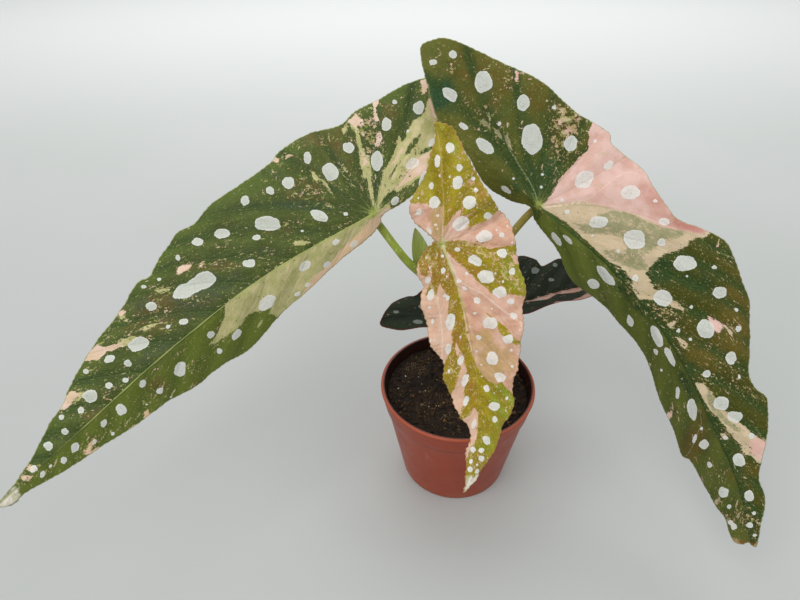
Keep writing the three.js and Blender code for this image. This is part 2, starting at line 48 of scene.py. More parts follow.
# step_rows, the soft step out to the band: where the wall's radius is taken, the height and how far
# out, from the band's lower edge.
POT = {
    "height": 68, "rim_radius": 45, "base_radius": 32, "wall": 1.4, "floor": 2, "band_height": 12,
    "band_step": 0.9, "band_ease": 1, "outer_lip": 1.2, "inner_lip": 0.5, "foot": 1.5, "drain_radius": 3.5,
    "drain_ring": 22, "drain_count": 6, "segments": 160, "floor_corner": 1.2, "drain_segments": 24,
    "wall_rows": [8, 16, 26, 36, 46], "inside_rows": [66, 62, 50, 30, 12],
    "step_rows": [[-0.5, -0.5, 0.12], [-0.2, -0.22, 0.45], [0, -0.02, 0.75], [0, 0.3, 0.9]],
}
SOIL = {
    "level": 61.5, "drop": 0.3, "mound": 1.6, "calm_width": 4, "calm_share": 0.35, "edge_gap": 0.15,
    "edge_sink": 0.5, "floor_gap": 0.3, "foot_gap": 1.0, "spacing": 0.62, "fine_reach": 37.5,
    "fine_gap": 0.4, "segments": 360, "bits_level": 64, "bits_gap": 1.6,
}
CANE = {
    "line": [
        [1, 1, 30, 3.3], [1, 1, 45, 3.3], [1, 1, 60, 3.3], [0.4, 1, 68, 3.3], [-3, 1, 86, 3.1],
        [-8, 2, 110, 2.8], [-14, 3, 134, 2.4], [-17, 4, 145, 2.2], [-18.5, 4.5, 151, 1.3],
    ],
    "joints": [67, 87, 112, 136], "swelling": 0.55, "swelling_length": 3,
}

# Rows [x, y, z, radius].
STALKS = {
    "stalk_left": [
        [-14.5, 3, 136, 2.6], [-28, 1.5, 150, 2.1], [-36, 5, 159.5, 2.0], [-43, 9.5, 168, 2.0],
        [-46, 8.2, 172.8, 1.9], [-46.2, 5.2, 175, 1.8], [-45.6, 3.6, 177.0, 1.7],
    ],
    "stalk_right": [
        [-8.5, 2, 112, 2.5], [6, 0, 138, 2.0], [22.5, 5, 163, 1.9], [32, 12, 171, 1.9],
        [35.3, 12, 174.5, 1.8], [36.2, 9.5, 176.3, 1.7], [35.6, 7.4, 178.2, 1.6],
    ],
    "stalk_centre": [
        [-16.5, 3.8, 144, 1.9], [-16.5, -2, 158, 1.6], [-15.5, -13, 170, 1.6], [-14.5, -20, 175, 1.7],
        [-14, -23.7, 176.6, 1.7],
    ],
    "stalk_back": [
        [-3, 1, 86, 2.3], [-0.5, 8, 89, 1.9], [2.5, 16, 91, 1.8], [4.6, 21, 95, 1.8], [5, 22, 98.8, 1.8],
    ],
}
STIPULE = {
    "foot": [-20, 7.5, 140], "top": [-25, 6, 168], "across": [0.95, 0.3, 0], "width": 11, "foot_share": 0.12,
    "bluntness": 0.7, "taper": 0.25, "cup": 2.2, "keel": 0.25, "keel_share": 0.12, "ripple": 0.12,
    "edge_half": 0.12,
}

# Shapes of the blades, as in the CAD. spine: [u, x, y, z]. relief: pleats between the side veins and waves
# along the edge. feet: where the side veins of each half leave the midrib. fan: directions of the veins that
# leave the joint into the lobe, in degrees from the midrib, for each half.
BLADES = {
    "blade_left": {
        "spine": [
            [-60, 5, 26, 198], [0, -45, 3, 178], [60, -96.5, -20, 158], [115, -139.5, -45.5, 135],
            [172, -181, -75, 109], [215, -212, -96, 89.5],
        ],
        "across": [[-0.58, 0.52, 0.63], [-0.5, 0.6, 0.6]], "fold_a": [[-20, 0], [0, 2]],
        "fold_b": [[-20, 0], [0, 38], [100, 46], [215, 36]], "curl_a": 0.23, "curl_b": 0.115,
        "outline_a": [
            [203, 1.5], [194, 4.2], [186, 7], [179, 10], [172, 12.4], [164.5, 14.6], [157, 19.2],
            [145, 23.5], [129, 27.8], [119, 31], [111, 34.6], [106, 35.6], [101, 34.2], [97, 36.5], [87, 41],
            [80, 44], [72, 42.5], [62, 45.5], [48, 46.5], [32, 48.5], [24, 52], [5, 53.5], [-9, 48],
            [-23, 50.5], [-40, 49.5], [-56, 48.5], [-65, 44.5], [-63, 33], [-51, 16.5], [-37, 5.5],
            [-28, -1], [-18, -2.5],
        ],
        "notch": [-4, -3],
        "outline_b": [
            [0, -7], [9, -10.5], [24, -13.5], [42, -18.5], [58, -22], [72, -25], [84, -28], [93, -29],
            [108, -25.5], [119, -25], [134, -20.5], [149, -17.5], [164, -14], [178, -11], [192, -7.5],
            [203, -4.6], [208, -5], [211.5, -3.7],
        ],
        "relief": {
            "pleat": 1.5, "pleat_width": 5, "quilt": 0.1, "wave": 0.5, "wave_b": 0.6, "wave_length": 38,
            "teeth": 0.24,
        },
        "feet_a": [0, 22, 45, 66, 88, 109, 130, 150, 168, 184],
        "feet_b": [10, 34, 58, 82, 105, 127, 148, 167, 183], "fan_a": [58, 82, 110, 130, 147, 165],
        "fan_b": [60], "spacing": 0.78,
    },
    "blade_right": {
        "spine": [
            [-88, -34, 36, 225], [0, 35, 6.5, 179], [48, 71, -11, 152.5], [94.5, 99.5, -32, 122.5],
            [140, 120, -55, 89], [176, 133.5, -73.5, 62.5], [205, 139.5, -90, 39.5],
        ],
        "across": [[0.85, 0.2, 0.45], [0.85, 0.2, 0.45]], "fold_a": [[-20, 0], [0, 2]],
        "fold_b": [[-40, 0], [0, 52], [70, 61], [205, 60]], "curl_a": 0.115, "curl_b": 0,
        "outline_a": [
            [204.8, 1.8], [200.3, 3.8], [195, 5.6], [183, 11], [174, 10.5], [165, 15], [152, 24],
            [140, 29.5], [131, 26], [123, 26.5], [108, 36], [97, 43.5], [88, 45], [79, 48.5], [71, 50.5],
            [61, 45.5], [50, 39], [36, 42], [28, 45.5], [10, 44.5], [3, 48], [-15, 45.5], [-34, 46],
            [-56, 42], [-80, 36], [-88, 31], [-91, 24], [-80, 14], [-65, 3], [-52, 1], [-42, -2.5],
            [-26, -8.5], [-11, -7.5],
        ],
        "notch": [-3, -4],
        "outline_b": [
            [3, -8], [11, -11.5], [25, -17.5], [37, -24.5], [48, -27.5], [62, -25], [86, -21], [101, -22],
            [118, -24.3], [132, -26.4], [146, -27.2], [157.7, -28.7], [161, -27.2], [161.7, -24], [167, -23],
            [177, -22], [188, -18], [194, -12.6], [201.6, -10.7], [205.3, -9.3], [205.6, -5.4],
            [203.4, -1.6],
        ],
        "relief": {
            "pleat": 1.3, "pleat_width": 5, "quilt": 0.1, "wave": 1.0, "wave_b": 0.7, "wave_length": 42,
            "teeth": 0.22,
        },
        "feet_a": [0, 22, 42, 64, 86, 107, 128, 147, 165, 182],
        "feet_b": [11, 33, 55, 76, 98, 119, 140, 158, 175], "fan_a": [62, 84, 106, 127, 146, 163],
        "fan_b": [62, 200], "spacing": 0.78,
    },
    "blade_centre": {
        "spine": [
            [-50, -36.5, -10, 219], [0, -14, -24.5, 177], [34.5, -3, -35.5, 146.5], [65, 2.5, -46.5, 119],
            [100, 4.5, -60, 86], [130, -3, -71, 60],
        ],
        "across": [[1, 0, 0.15], [1, 0, 0]], "fold_a": [[-10, 0], [0, 15]], "fold_b": [[-10, 0], [0, 20]],
        "curl_a": 0, "curl_b": 0,
        "outline_a": [
            [121, 4.5], [110, 7.5], [100, 10.5], [91, 13], [84, 18], [73, 18.5], [64, 22.5], [52, 25],
            [40, 29], [33, 31], [27, 30.5], [11, 32.5], [1, 32], [-4, 29], [-18, 27], [-30, 26.5], [-42, 26],
            [-48, 21], [-43.5, 18.4], [-37.8, 13.7], [-32.3, 8.8], [-29, 5.2], [-27.3, 1], [-25, -2.4],
            [-23.2, -4.9], [-17.5, -7.3], [-10, -5.5],
        ],
        "notch": [-3, -2.5],
        "outline_b": [
            [0, -8.5], [5, -14.5], [11, -16.5], [18, -16.5], [24, -19.5], [38, -21], [47, -20.5],
            [53, -19.5], [60, -16], [69, -16.5], [78, -14], [90, -9], [98, -4.5], [108, -5], [120, -1.5],
        ],
        "relief": {
            "pleat": 1.3, "pleat_width": 3, "quilt": 0.25, "wave": 1.1, "wave_b": 1.2, "wave_length": 20,
            "teeth": 0.5,
        },
        "feet_a": [0, 9, 22, 34.5, 45, 55, 66, 77, 88, 99, 109],
        "feet_b": [6, 17, 29, 40, 51, 62, 73, 84, 95, 105], "fan_a": [61, 84, 108, 132, 155],
        "fan_b": [70, 205], "spacing": 0.56,
    },
    "blade_back": {
        "spine": [
            [-55, -46, 6, 103], [0, 5, 22, 100], [40, 42, 34, 100], [80, 78, 51, 97], [120, 112, 68, 88],
        ],
        "across": [[-0.3, 0.95, 0.05], [-0.4, 0.9, 0]], "fold_a": [[-25, 0], [0, -14]],
        "fold_b": [[-25, 0], [0, -22]], "curl_a": 0, "curl_b": 0,
        "outline_a": [
            [112, 6], [98, 17], [85, 26], [76, 25], [68, 23], [66, 29], [60, 34.5], [50, 36], [30, 35.5],
            [10, 33], [-8, 29], [-17, 26.5], [-23, 24], [-29, 25.5], [-38, 22], [-47, 12.5], [-52, 5],
            [-48, 0], [-40, -5], [-28, -4], [-14, -5],
        ],
        "notch": [-3, -3],
        "outline_b": [
            [3, -8], [12, -14], [32, -17], [50, -16], [60, -15], [68, -20], [82, -19], [98, -13], [110, -6],
        ],
        "relief": {
            "pleat": 1.2, "pleat_width": 4, "quilt": 0.1, "wave": 0.8, "wave_b": 1, "wave_length": 30,
            "teeth": 0.14,
        },
        "feet_a": [0, 18, 36, 54, 72, 88], "feet_b": [9, 27, 45, 63, 80, 95],
        "fan_a": [60, 85, 112, 140, 165], "fan_b": [70, 195], "spacing": 0.8,
    },
}

# Pale veins that run apart from the regular ones, as (half width, [(u, v), ...]).
LINES = {
    "blade_left": [],
    "blade_right": [
        (0.38, [
            (-0.2, 0.4), (-5.5, 3.7), (-11.5, 6.4), (-16.6, 7.9), (-22.1, 10), (-27.1, 11.6), (-30.5, 13.6),
        ]),
        (0.34, [
            (2.1, 0.5), (5.7, 4.3), (10.6, 9.9), (15.6, 15.5), (18.1, 22.7), (20.1, 33), (22.7, 39),
            (27.5, 42),
        ]),
        (0.3, [(2.4, 0.2), (8.5, 6.7), (16.3, 14.6), (25.1, 21.1), (33.7, 25.1), (39.2, 27.2)]),
        (0.3, [(-2, 17.9), (-5.4, 18.8), (-9, 22.3)]),
        (0.32, [(131, -1.9), (138.6, -5), (148, -13.1), (156.8, -21.6), (160.8, -26.4)]),
    ],
    "blade_centre": [
        (1.0, [(-2, 0.2), (0, 0), (6, 0.3), (13, 0.2)]),
        (0.42, [(-1.7, 0.5), (-11.7, 6.5), (-17.7, 9.1), (-26.7, 12.9), (-35.4, 17), (-44.1, 20)]),
        (0.45, [
            (13.7, 0.6), (19.8, 1.9), (23.6, 5), (28.2, 9.7), (34.2, 14.1), (39.5, 18.1), (43.9, 22.5),
            (47.2, 25.8),
        ]),
        (0.5, [(19.6, -9.3), (27.4, -11.6), (36.6, -12.4), (47.7, -13.9), (59, -16.5)]),
    ],
    "blade_back": [],
}

# White dots, each as (u, v, long half-axis, short half-axis, angle of the long axis in degrees).
SPOTS = {
    "blade_left": [
        (7.6, 28.6, 4.8, 3.9, 102), (28.4, 33.7, 3.2, 2.8, 75), (37.5, 34.8, 2.1, 1.8, 73),
        (-7.1, 35, 3.2, 2.8, 117), (-15.5, 21.6, 4.9, 3.2, 126), (-29.9, 35.2, 3.6, 2.4, 124),
        (-48.7, 34.3, 3.7, 2.8, 125), (-29.9, 11.2, 3.9, 2.4, 179), (23.6, 11.7, 4.4, 2.6, 57),
        (53.4, 17.6, 1.8, 1.3, 54), (-12.3, 0, 2.5, 1.6, 161), (-30.3, 2, 4.3, 1.7, 150),
        (46, 21, 6, 3.4, 39), (14, 41, 3, 2, 118), (22.7, -3.2, 1.8, 1.3, 180), (15.4, -9.1, 2.2, 1.6, 166),
        (-40.1, 43.3, 1.3, 1.2, 125), (12.1, 6.4, 1.1, 1, 28), (-37.4, 26.7, 1, 0.8, 127),
        (-44.3, 15.6, 2.4, 1.6, 151), (34.2, 9.4, 0.8, 0.6, 33), (-51.7, 45.4, 0.4, 0.4, 124),
        (64.8, 29.3, 3.7, 2.4, 43), (75.5, 33.1, 2.9, 2, 56), (53.4, 17.7, 1.8, 1.4, 46),
        (86.3, 32.5, 1.5, 1.2, 98), (62.6, 9.1, 3.1, 2, 43), (108.6, 21.4, 2.6, 1.9, 52),
        (101.8, 5.7, 2.2, 1.5, 36), (41.4, -6.5, 3.3, 2.3, 159), (67.1, -12.3, 5, 3.1, 165),
        (98.6, 29.5, 1, 0.7, 52), (105.9, 31.8, 1.2, 0.9, 59), (97, -7.3, 2.3, 1.8, 109),
        (88.4, -16.4, 3.2, 2.2, 159), (99.8, -17.9, 1.6, 1.2, 111), (22.8, -3.1, 1.8, 1.3, 173),
        (31.7, -11.9, 2.1, 1.9, 153), (45.1, -16.4, 1.5, 1.1, 179), (52, -18.2, 1.9, 1.2, 174),
        (123.4, 11.5, 4.7, 3.2, 25), (108.6, 8.4, 1, 0.9, 28), (136.7, 15.1, 2.3, 1.8, 43),
        (132, 7.8, 1.7, 1.5, 89), (147.9, 18.7, 1.5, 1.1, 54), (144.4, 5.9, 1.7, 1.4, 60),
        (137.8, 2.7, 1.4, 1.1, 54), (134.1, -3.7, 2, 1.5, 136), (131.9, -12.2, 1.8, 1.5, 146),
        (118.6, -11.4, 4.2, 2.7, 138), (99.9, -18, 1.6, 1.1, 130), (153.3, 8.2, 3.2, 2.8, 44),
        (160.5, 6.4, 1.6, 1.4, 98), (148.7, -5.8, 2.9, 2.1, 125), (168.5, 10.1, 1.4, 1.2, 66),
        (158.2, -4.9, 1.9, 1.4, 134), (171.5, 4.2, 1.6, 1.4, 68), (180.7, 4.3, 2.1, 1.9, 77),
        (173.9, -4.2, 2.5, 1.7, 138), (181, -5, 1.9, 1.2, 139), (159.9, -12.1, 1, 0.8, 136),
        (140.6, -13.2, 0.7, 0.5, 101), (131.5, -19.7, 0.7, 0.5, 112), (191.6, 1, 1.7, 1.5, 36),
        (191.4, -3.3, 1.7, 1, 147), (186.6, -3.1, 1, 0.6, 157), (105.7, 31.9, 1, 0.6, 49),
        (98.6, 29.5, 0.9, 0.6, 51), (93, 17.1, 5.3, 3.8, 21), (83.1, 15.3, 5.3, 3.8, 24),
        (88.2, 16.3, 4.9, 3.5, 12), (49, 37.3, 2.3, 1.9, 85), (167, -8.5, 1.4, 0.8, 141),
    ],
    "blade_right": [
        (-76.3, 30.4, 1.9, 1.8, 19), (-81.7, 22.1, 2, 1.3, 31), (-57, 29.1, 4.9, 4.2, 139),
        (-66.3, 15.2, 4.3, 2.5, 0), (-36, 32.9, 3.8, 3, 127), (-52, 7.2, 2.6, 1.2, 8),
        (-39, 18.5, 1, 0.8, 129), (-38.1, 5.9, 5.3, 2.6, 176), (-22.4, 22.2, 7, 4.9, 129),
        (-23.3, 40.4, 1.1, 1.1, 68), (-7, 32.2, 3.5, 3.3, 115), (-8.1, 12.5, 0.8, 0.7, 37),
        (-4.5, 7.6, 0.8, 0.8, 136), (-17, -4, 3.1, 1.3, 180), (-17.6, 2.3, 0.8, 0.6, 36),
        (-33.5, 42.9, 0.5, 0.4, 41), (9.3, 23.3, 5.1, 3.7, 72), (14, 35.8, 2.5, 1.8, 80),
        (29.5, 32.4, 4.5, 3.1, 52), (39.7, 37.4, 1, 0.8, 68), (1.1, 40.8, 1, 0.9, 21),
        (7.1, 9.1, 0.9, 0.8, 31), (48.2, 33.7, 2.3, 1.8, 42), (27.3, 11.9, 4.3, 2.8, 41),
        (45, 17.6, 5.2, 4.4, 47), (54.1, 26, 1.9, 1.7, 76), (29.5, 5.2, 0.8, 0.7, 40),
        (43.3, 8, 0.9, 0.9, 99), (12.7, 6.2, 1.2, 1.1, 30), (58.3, 5.2, 1.5, 1.5, 149),
        (67.9, 28, 5.6, 3.5, 57), (77.1, 38, 1.1, 0.8, 67), (87.1, 33, 3.2, 2.6, 71),
        (74.2, 9.4, 4.4, 3.9, 35), (96.9, 17.6, 4.3, 4, 91), (104.3, 31.5, 1.4, 1.3, 110),
        (97.1, 35.3, 0.9, 0.8, 88), (18.8, -10.2, 4.8, 1.8, 151), (22.1, -4.7, 3.1, 1.6, 172),
        (48.8, -5.4, 6.4, 3.4, 179), (50.1, -16.8, 3.6, 3.2, 134), (77.1, -14.4, 3.7, 2.2, 139),
        (85.2, 17.8, 0.9, 0.9, 92), (72.9, 25, 0.6, 0.6, 90), (91.2, 6.4, 0.9, 0.9, 145),
        (89, -4.8, 6.3, 3.1, 164), (101.3, -4.7, 5.7, 2.1, 171), (97.5, -11.3, 2.2, 1.5, 130),
        (78.1, -14.7, 2.8, 1.8, 113), (121.4, -11, 3.9, 1.3, 148), (131.3, -7.4, 6.7, 2.9, 151),
        (151.5, -10.4, 4, 2.1, 131), (148, -13.9, 3.4, 0.9, 139), (163.4, -12, 2.3, 1.3, 137),
        (131.5, 7.9, 3.7, 3.4, 177), (140.6, 11.3, 3.7, 2.9, 50), (114, 21.6, 3.1, 2.4, 154),
        (115.7, 7.8, 1.9, 1.9, 136), (161.3, 4.3, 3.5, 2.7, 4), (179.1, -9.7, 4, 2.4, 140),
        (179.9, 3.3, 2.8, 2.2, 7), (186.8, -8.6, 1.7, 0.9, 122), (152.8, 14.4, 1.5, 1.4, 161),
        (104.2, 31.6, 1.4, 1.2, 99), (91.1, 6.3, 1, 1, 145), (97.6, 9, 0.9, 0.7, 63),
        (193.9, 0.7, 1.3, 1.2, 165), (196.7, -7.5, 2.2, 1.3, 134), (195.1, -9.3, 1.8, 1, 125),
        (188.8, 3.6, 0.9, 0.8, 82), (199.3, 1.9, 1.1, 0.8, 58), (148.5, 3.1, 1.1, 1, 56),
        (141.7, -6.7, 1.3, 0.7, 130), (108.3, -14.5, 1.2, 0.6, 138), (123.4, 20.9, 1.1, 0.7, 164),
    ],
    "blade_centre": [
        (-35.2, 21.4, 2.2, 1.8, 156), (-33, 14.1, 2.5, 1.2, 148), (-26.3, 21.1, 1.5, 1.4, 153),
        (-21, 17.5, 2.8, 2.1, 139), (-24.6, 15.7, 0.4, 0.4, 60), (-19.4, 24.1, 0.9, 0.8, 68),
        (-14.8, 23.1, 0.9, 0.8, 78), (-24.9, 6.9, 1.6, 1, 152), (-27.2, 12.2, 0.8, 0.4, 152),
        (-18.1, 4.8, 2.7, 2.3, 153), (-11.6, 18.4, 3.2, 2.2, 94), (-8.4, 20.6, 0.5, 0.5, 31),
        (-3, 23.7, 1.9, 1.5, 62), (-17.5, -3.2, 1.7, 1.3, 154), (-17.3, -7.3, 0.6, 0.6, 173),
        (-12.2, 3.4, 0.7, 0.7, 62), (-4.8, 11.2, 3.9, 2.9, 102), (4.9, 19.1, 3.7, 2.4, 78),
        (7.4, 26.9, 1.3, 1, 67), (-7.8, -2.5, 1.7, 0.8, 1), (-9.1, 0.9, 0.7, 0.6, 61),
        (-7.2, 0.8, 0.6, 0.5, 162), (5.5, 5.6, 1.4, 1, 55), (14.9, 24.5, 2.4, 1.9, 67),
        (13.3, 11.6, 3.5, 2.2, 40), (21.9, 14, 3.9, 2.9, 61), (24, 26.5, 1.7, 1.5, 68),
        (30.8, 18.3, 3.3, 2.5, 64), (36.3, 22.4, 2, 1.3, 65), (12.4, -4, 1.6, 1.1, 143),
        (17.4, 5.9, 1, 0.9, 47), (14.9, -12.7, 2.2, 1.2, 149), (22.9, -14, 3.1, 1.6, 149),
        (24.6, -7.5, 1.1, 0.9, 146), (26, -6.3, 1.4, 1, 156), (30.9, 6.7, 1.8, 1.5, 51),
        (19.2, 1.3, 1.1, 0.9, 58), (23.3, 2.7, 1.4, 0.8, 36), (5.5, -1.8, 0.9, 0.8, 169),
        (4.4, -9.9, 0.6, 0.6, 98), (4.3, -3.9, 0.5, 0.5, 123), (9.1, -9.3, 1, 0.4, 148),
        (29, -16.2, 0.8, 0.7, 122), (26.7, 21, 0.6, 0.6, 65), (21.9, 18.7, 0.4, 0.4, 62),
        (36.7, 12.7, 0.6, 0.5, 55), (12.2, 30.4, 0.6, 0.5, 67), (5.2, 30.9, 0.5, 0.5, 65),
        (4.6, 25.6, 0.4, 0.4, 63), (-7.8, 26.3, 0.4, 0.3, 35), (-5.3, 28, 0.5, 0.4, 175),
        (-19.2, 11.8, 0.3, 0.3, 70), (-16.7, 14.3, 0.3, 0.3, 74), (-23.1, -0.6, 0.4, 0.4, 25),
        (15.4, -3, 0.6, 0.4, 156), (16.8, -4.5, 0.4, 0.4, 131), (38.2, -8, 4.7, 2.3, 158),
        (36.1, 4.2, 1, 0.7, 67), (42.9, 10.3, 3.7, 2.7, 58), (43, 22.6, 2, 1.4, 62),
        (52.5, 17.7, 2.6, 2.2, 65), (48.1, 3.7, 1.4, 1.2, 53), (59.8, 8.7, 3.5, 2.8, 24),
        (69.9, 11.5, 3.1, 2.2, 53), (74, 4.1, 1.8, 1.4, 52), (83.2, 7.2, 2.7, 2.2, 60),
        (89.6, 7.3, 1.7, 1.3, 30), (99.6, 3.8, 2.9, 1.6, 35), (52.5, -12, 3.2, 1.4, 161),
        (58.8, -6.8, 2.7, 1.4, 157), (69.1, -5.7, 3.5, 1.5, 155), (79.5, -6.4, 3, 1.2, 161),
        (91.4, -3, 2.8, 1, 167), (105.4, -2, 1.9, 1.3, 4), (105.1, 2, 1.4, 1.3, 130),
        (109.3, 3.1, 2, 1.3, 36), (112.1, -1.3, 1.3, 0.8, 179), (116.1, -0.6, 1.6, 1.1, 3),
        (116.8, 3.3, 1.5, 1.1, 30), (113.1, 2, 0.7, 0.6, 179), (58.4, 18.9, 0.8, 0.7, 56),
        (65.7, 18.1, 0.8, 0.7, 56), (80.9, 14.3, 0.8, 0.7, 46), (86.1, 13, 0.5, 0.4, 39),
        (89.4, 1.7, 0.7, 0.5, 170), (67.6, 2.6, 0.6, 0.5, 42), (61.7, 2.7, 0.6, 0.4, 69),
        (37.2, -17.1, 1.6, 0.8, 165), (29.1, -16.1, 0.8, 0.6, 153), (64.3, -13.1, 1.1, 0.6, 170),
        (46.3, -4.7, 0.9, 0.5, 166), (46.9, -17.6, 0.6, 0.4, 166), (48.4, -14.2, 0.4, 0.4, 147),
        (47, -19.7, 0.8, 0.3, 168), (49.6, 24.1, 0.6, 0.5, 177), (47.9, 25.2, 0.5, 0.4, 179),
        (61, 22.5, 0.5, 0.5, 7), (36.9, 12.7, 0.4, 0.4, 55), (41.7, 0.5, 0.4, 0.4, 34),
        (54.4, 1.7, 0.5, 0.4, 63), (77.2, 8, 0.4, 0.4, 19), (76.8, 11.4, 0.3, 0.3, 56),
        (73.4, -3.2, 0.3, 0.2, 163),
    ],
    "blade_back": [
        (-39.9, 11.8, 1.7, 1.6, 23), (-30.2, 0.4, 2.8, 2, 173), (60.6, 20.5, 3.3, 2.3, 14),
        (77.6, 21.7, 2.2, 1.5, 29), (82.5, 13.5, 1.9, 1.1, 21), (66.8, 10.8, 2.2, 1.4, 2),
        (47.6, -3.4, 3.4, 2.2, 177), (52.9, 20.9, 0.7, 0.5, 39), (54.9, 8.1, 0.7, 0.5, 39),
        (-23.7, 12.7, 1.5, 1.3, 153),
    ],
}

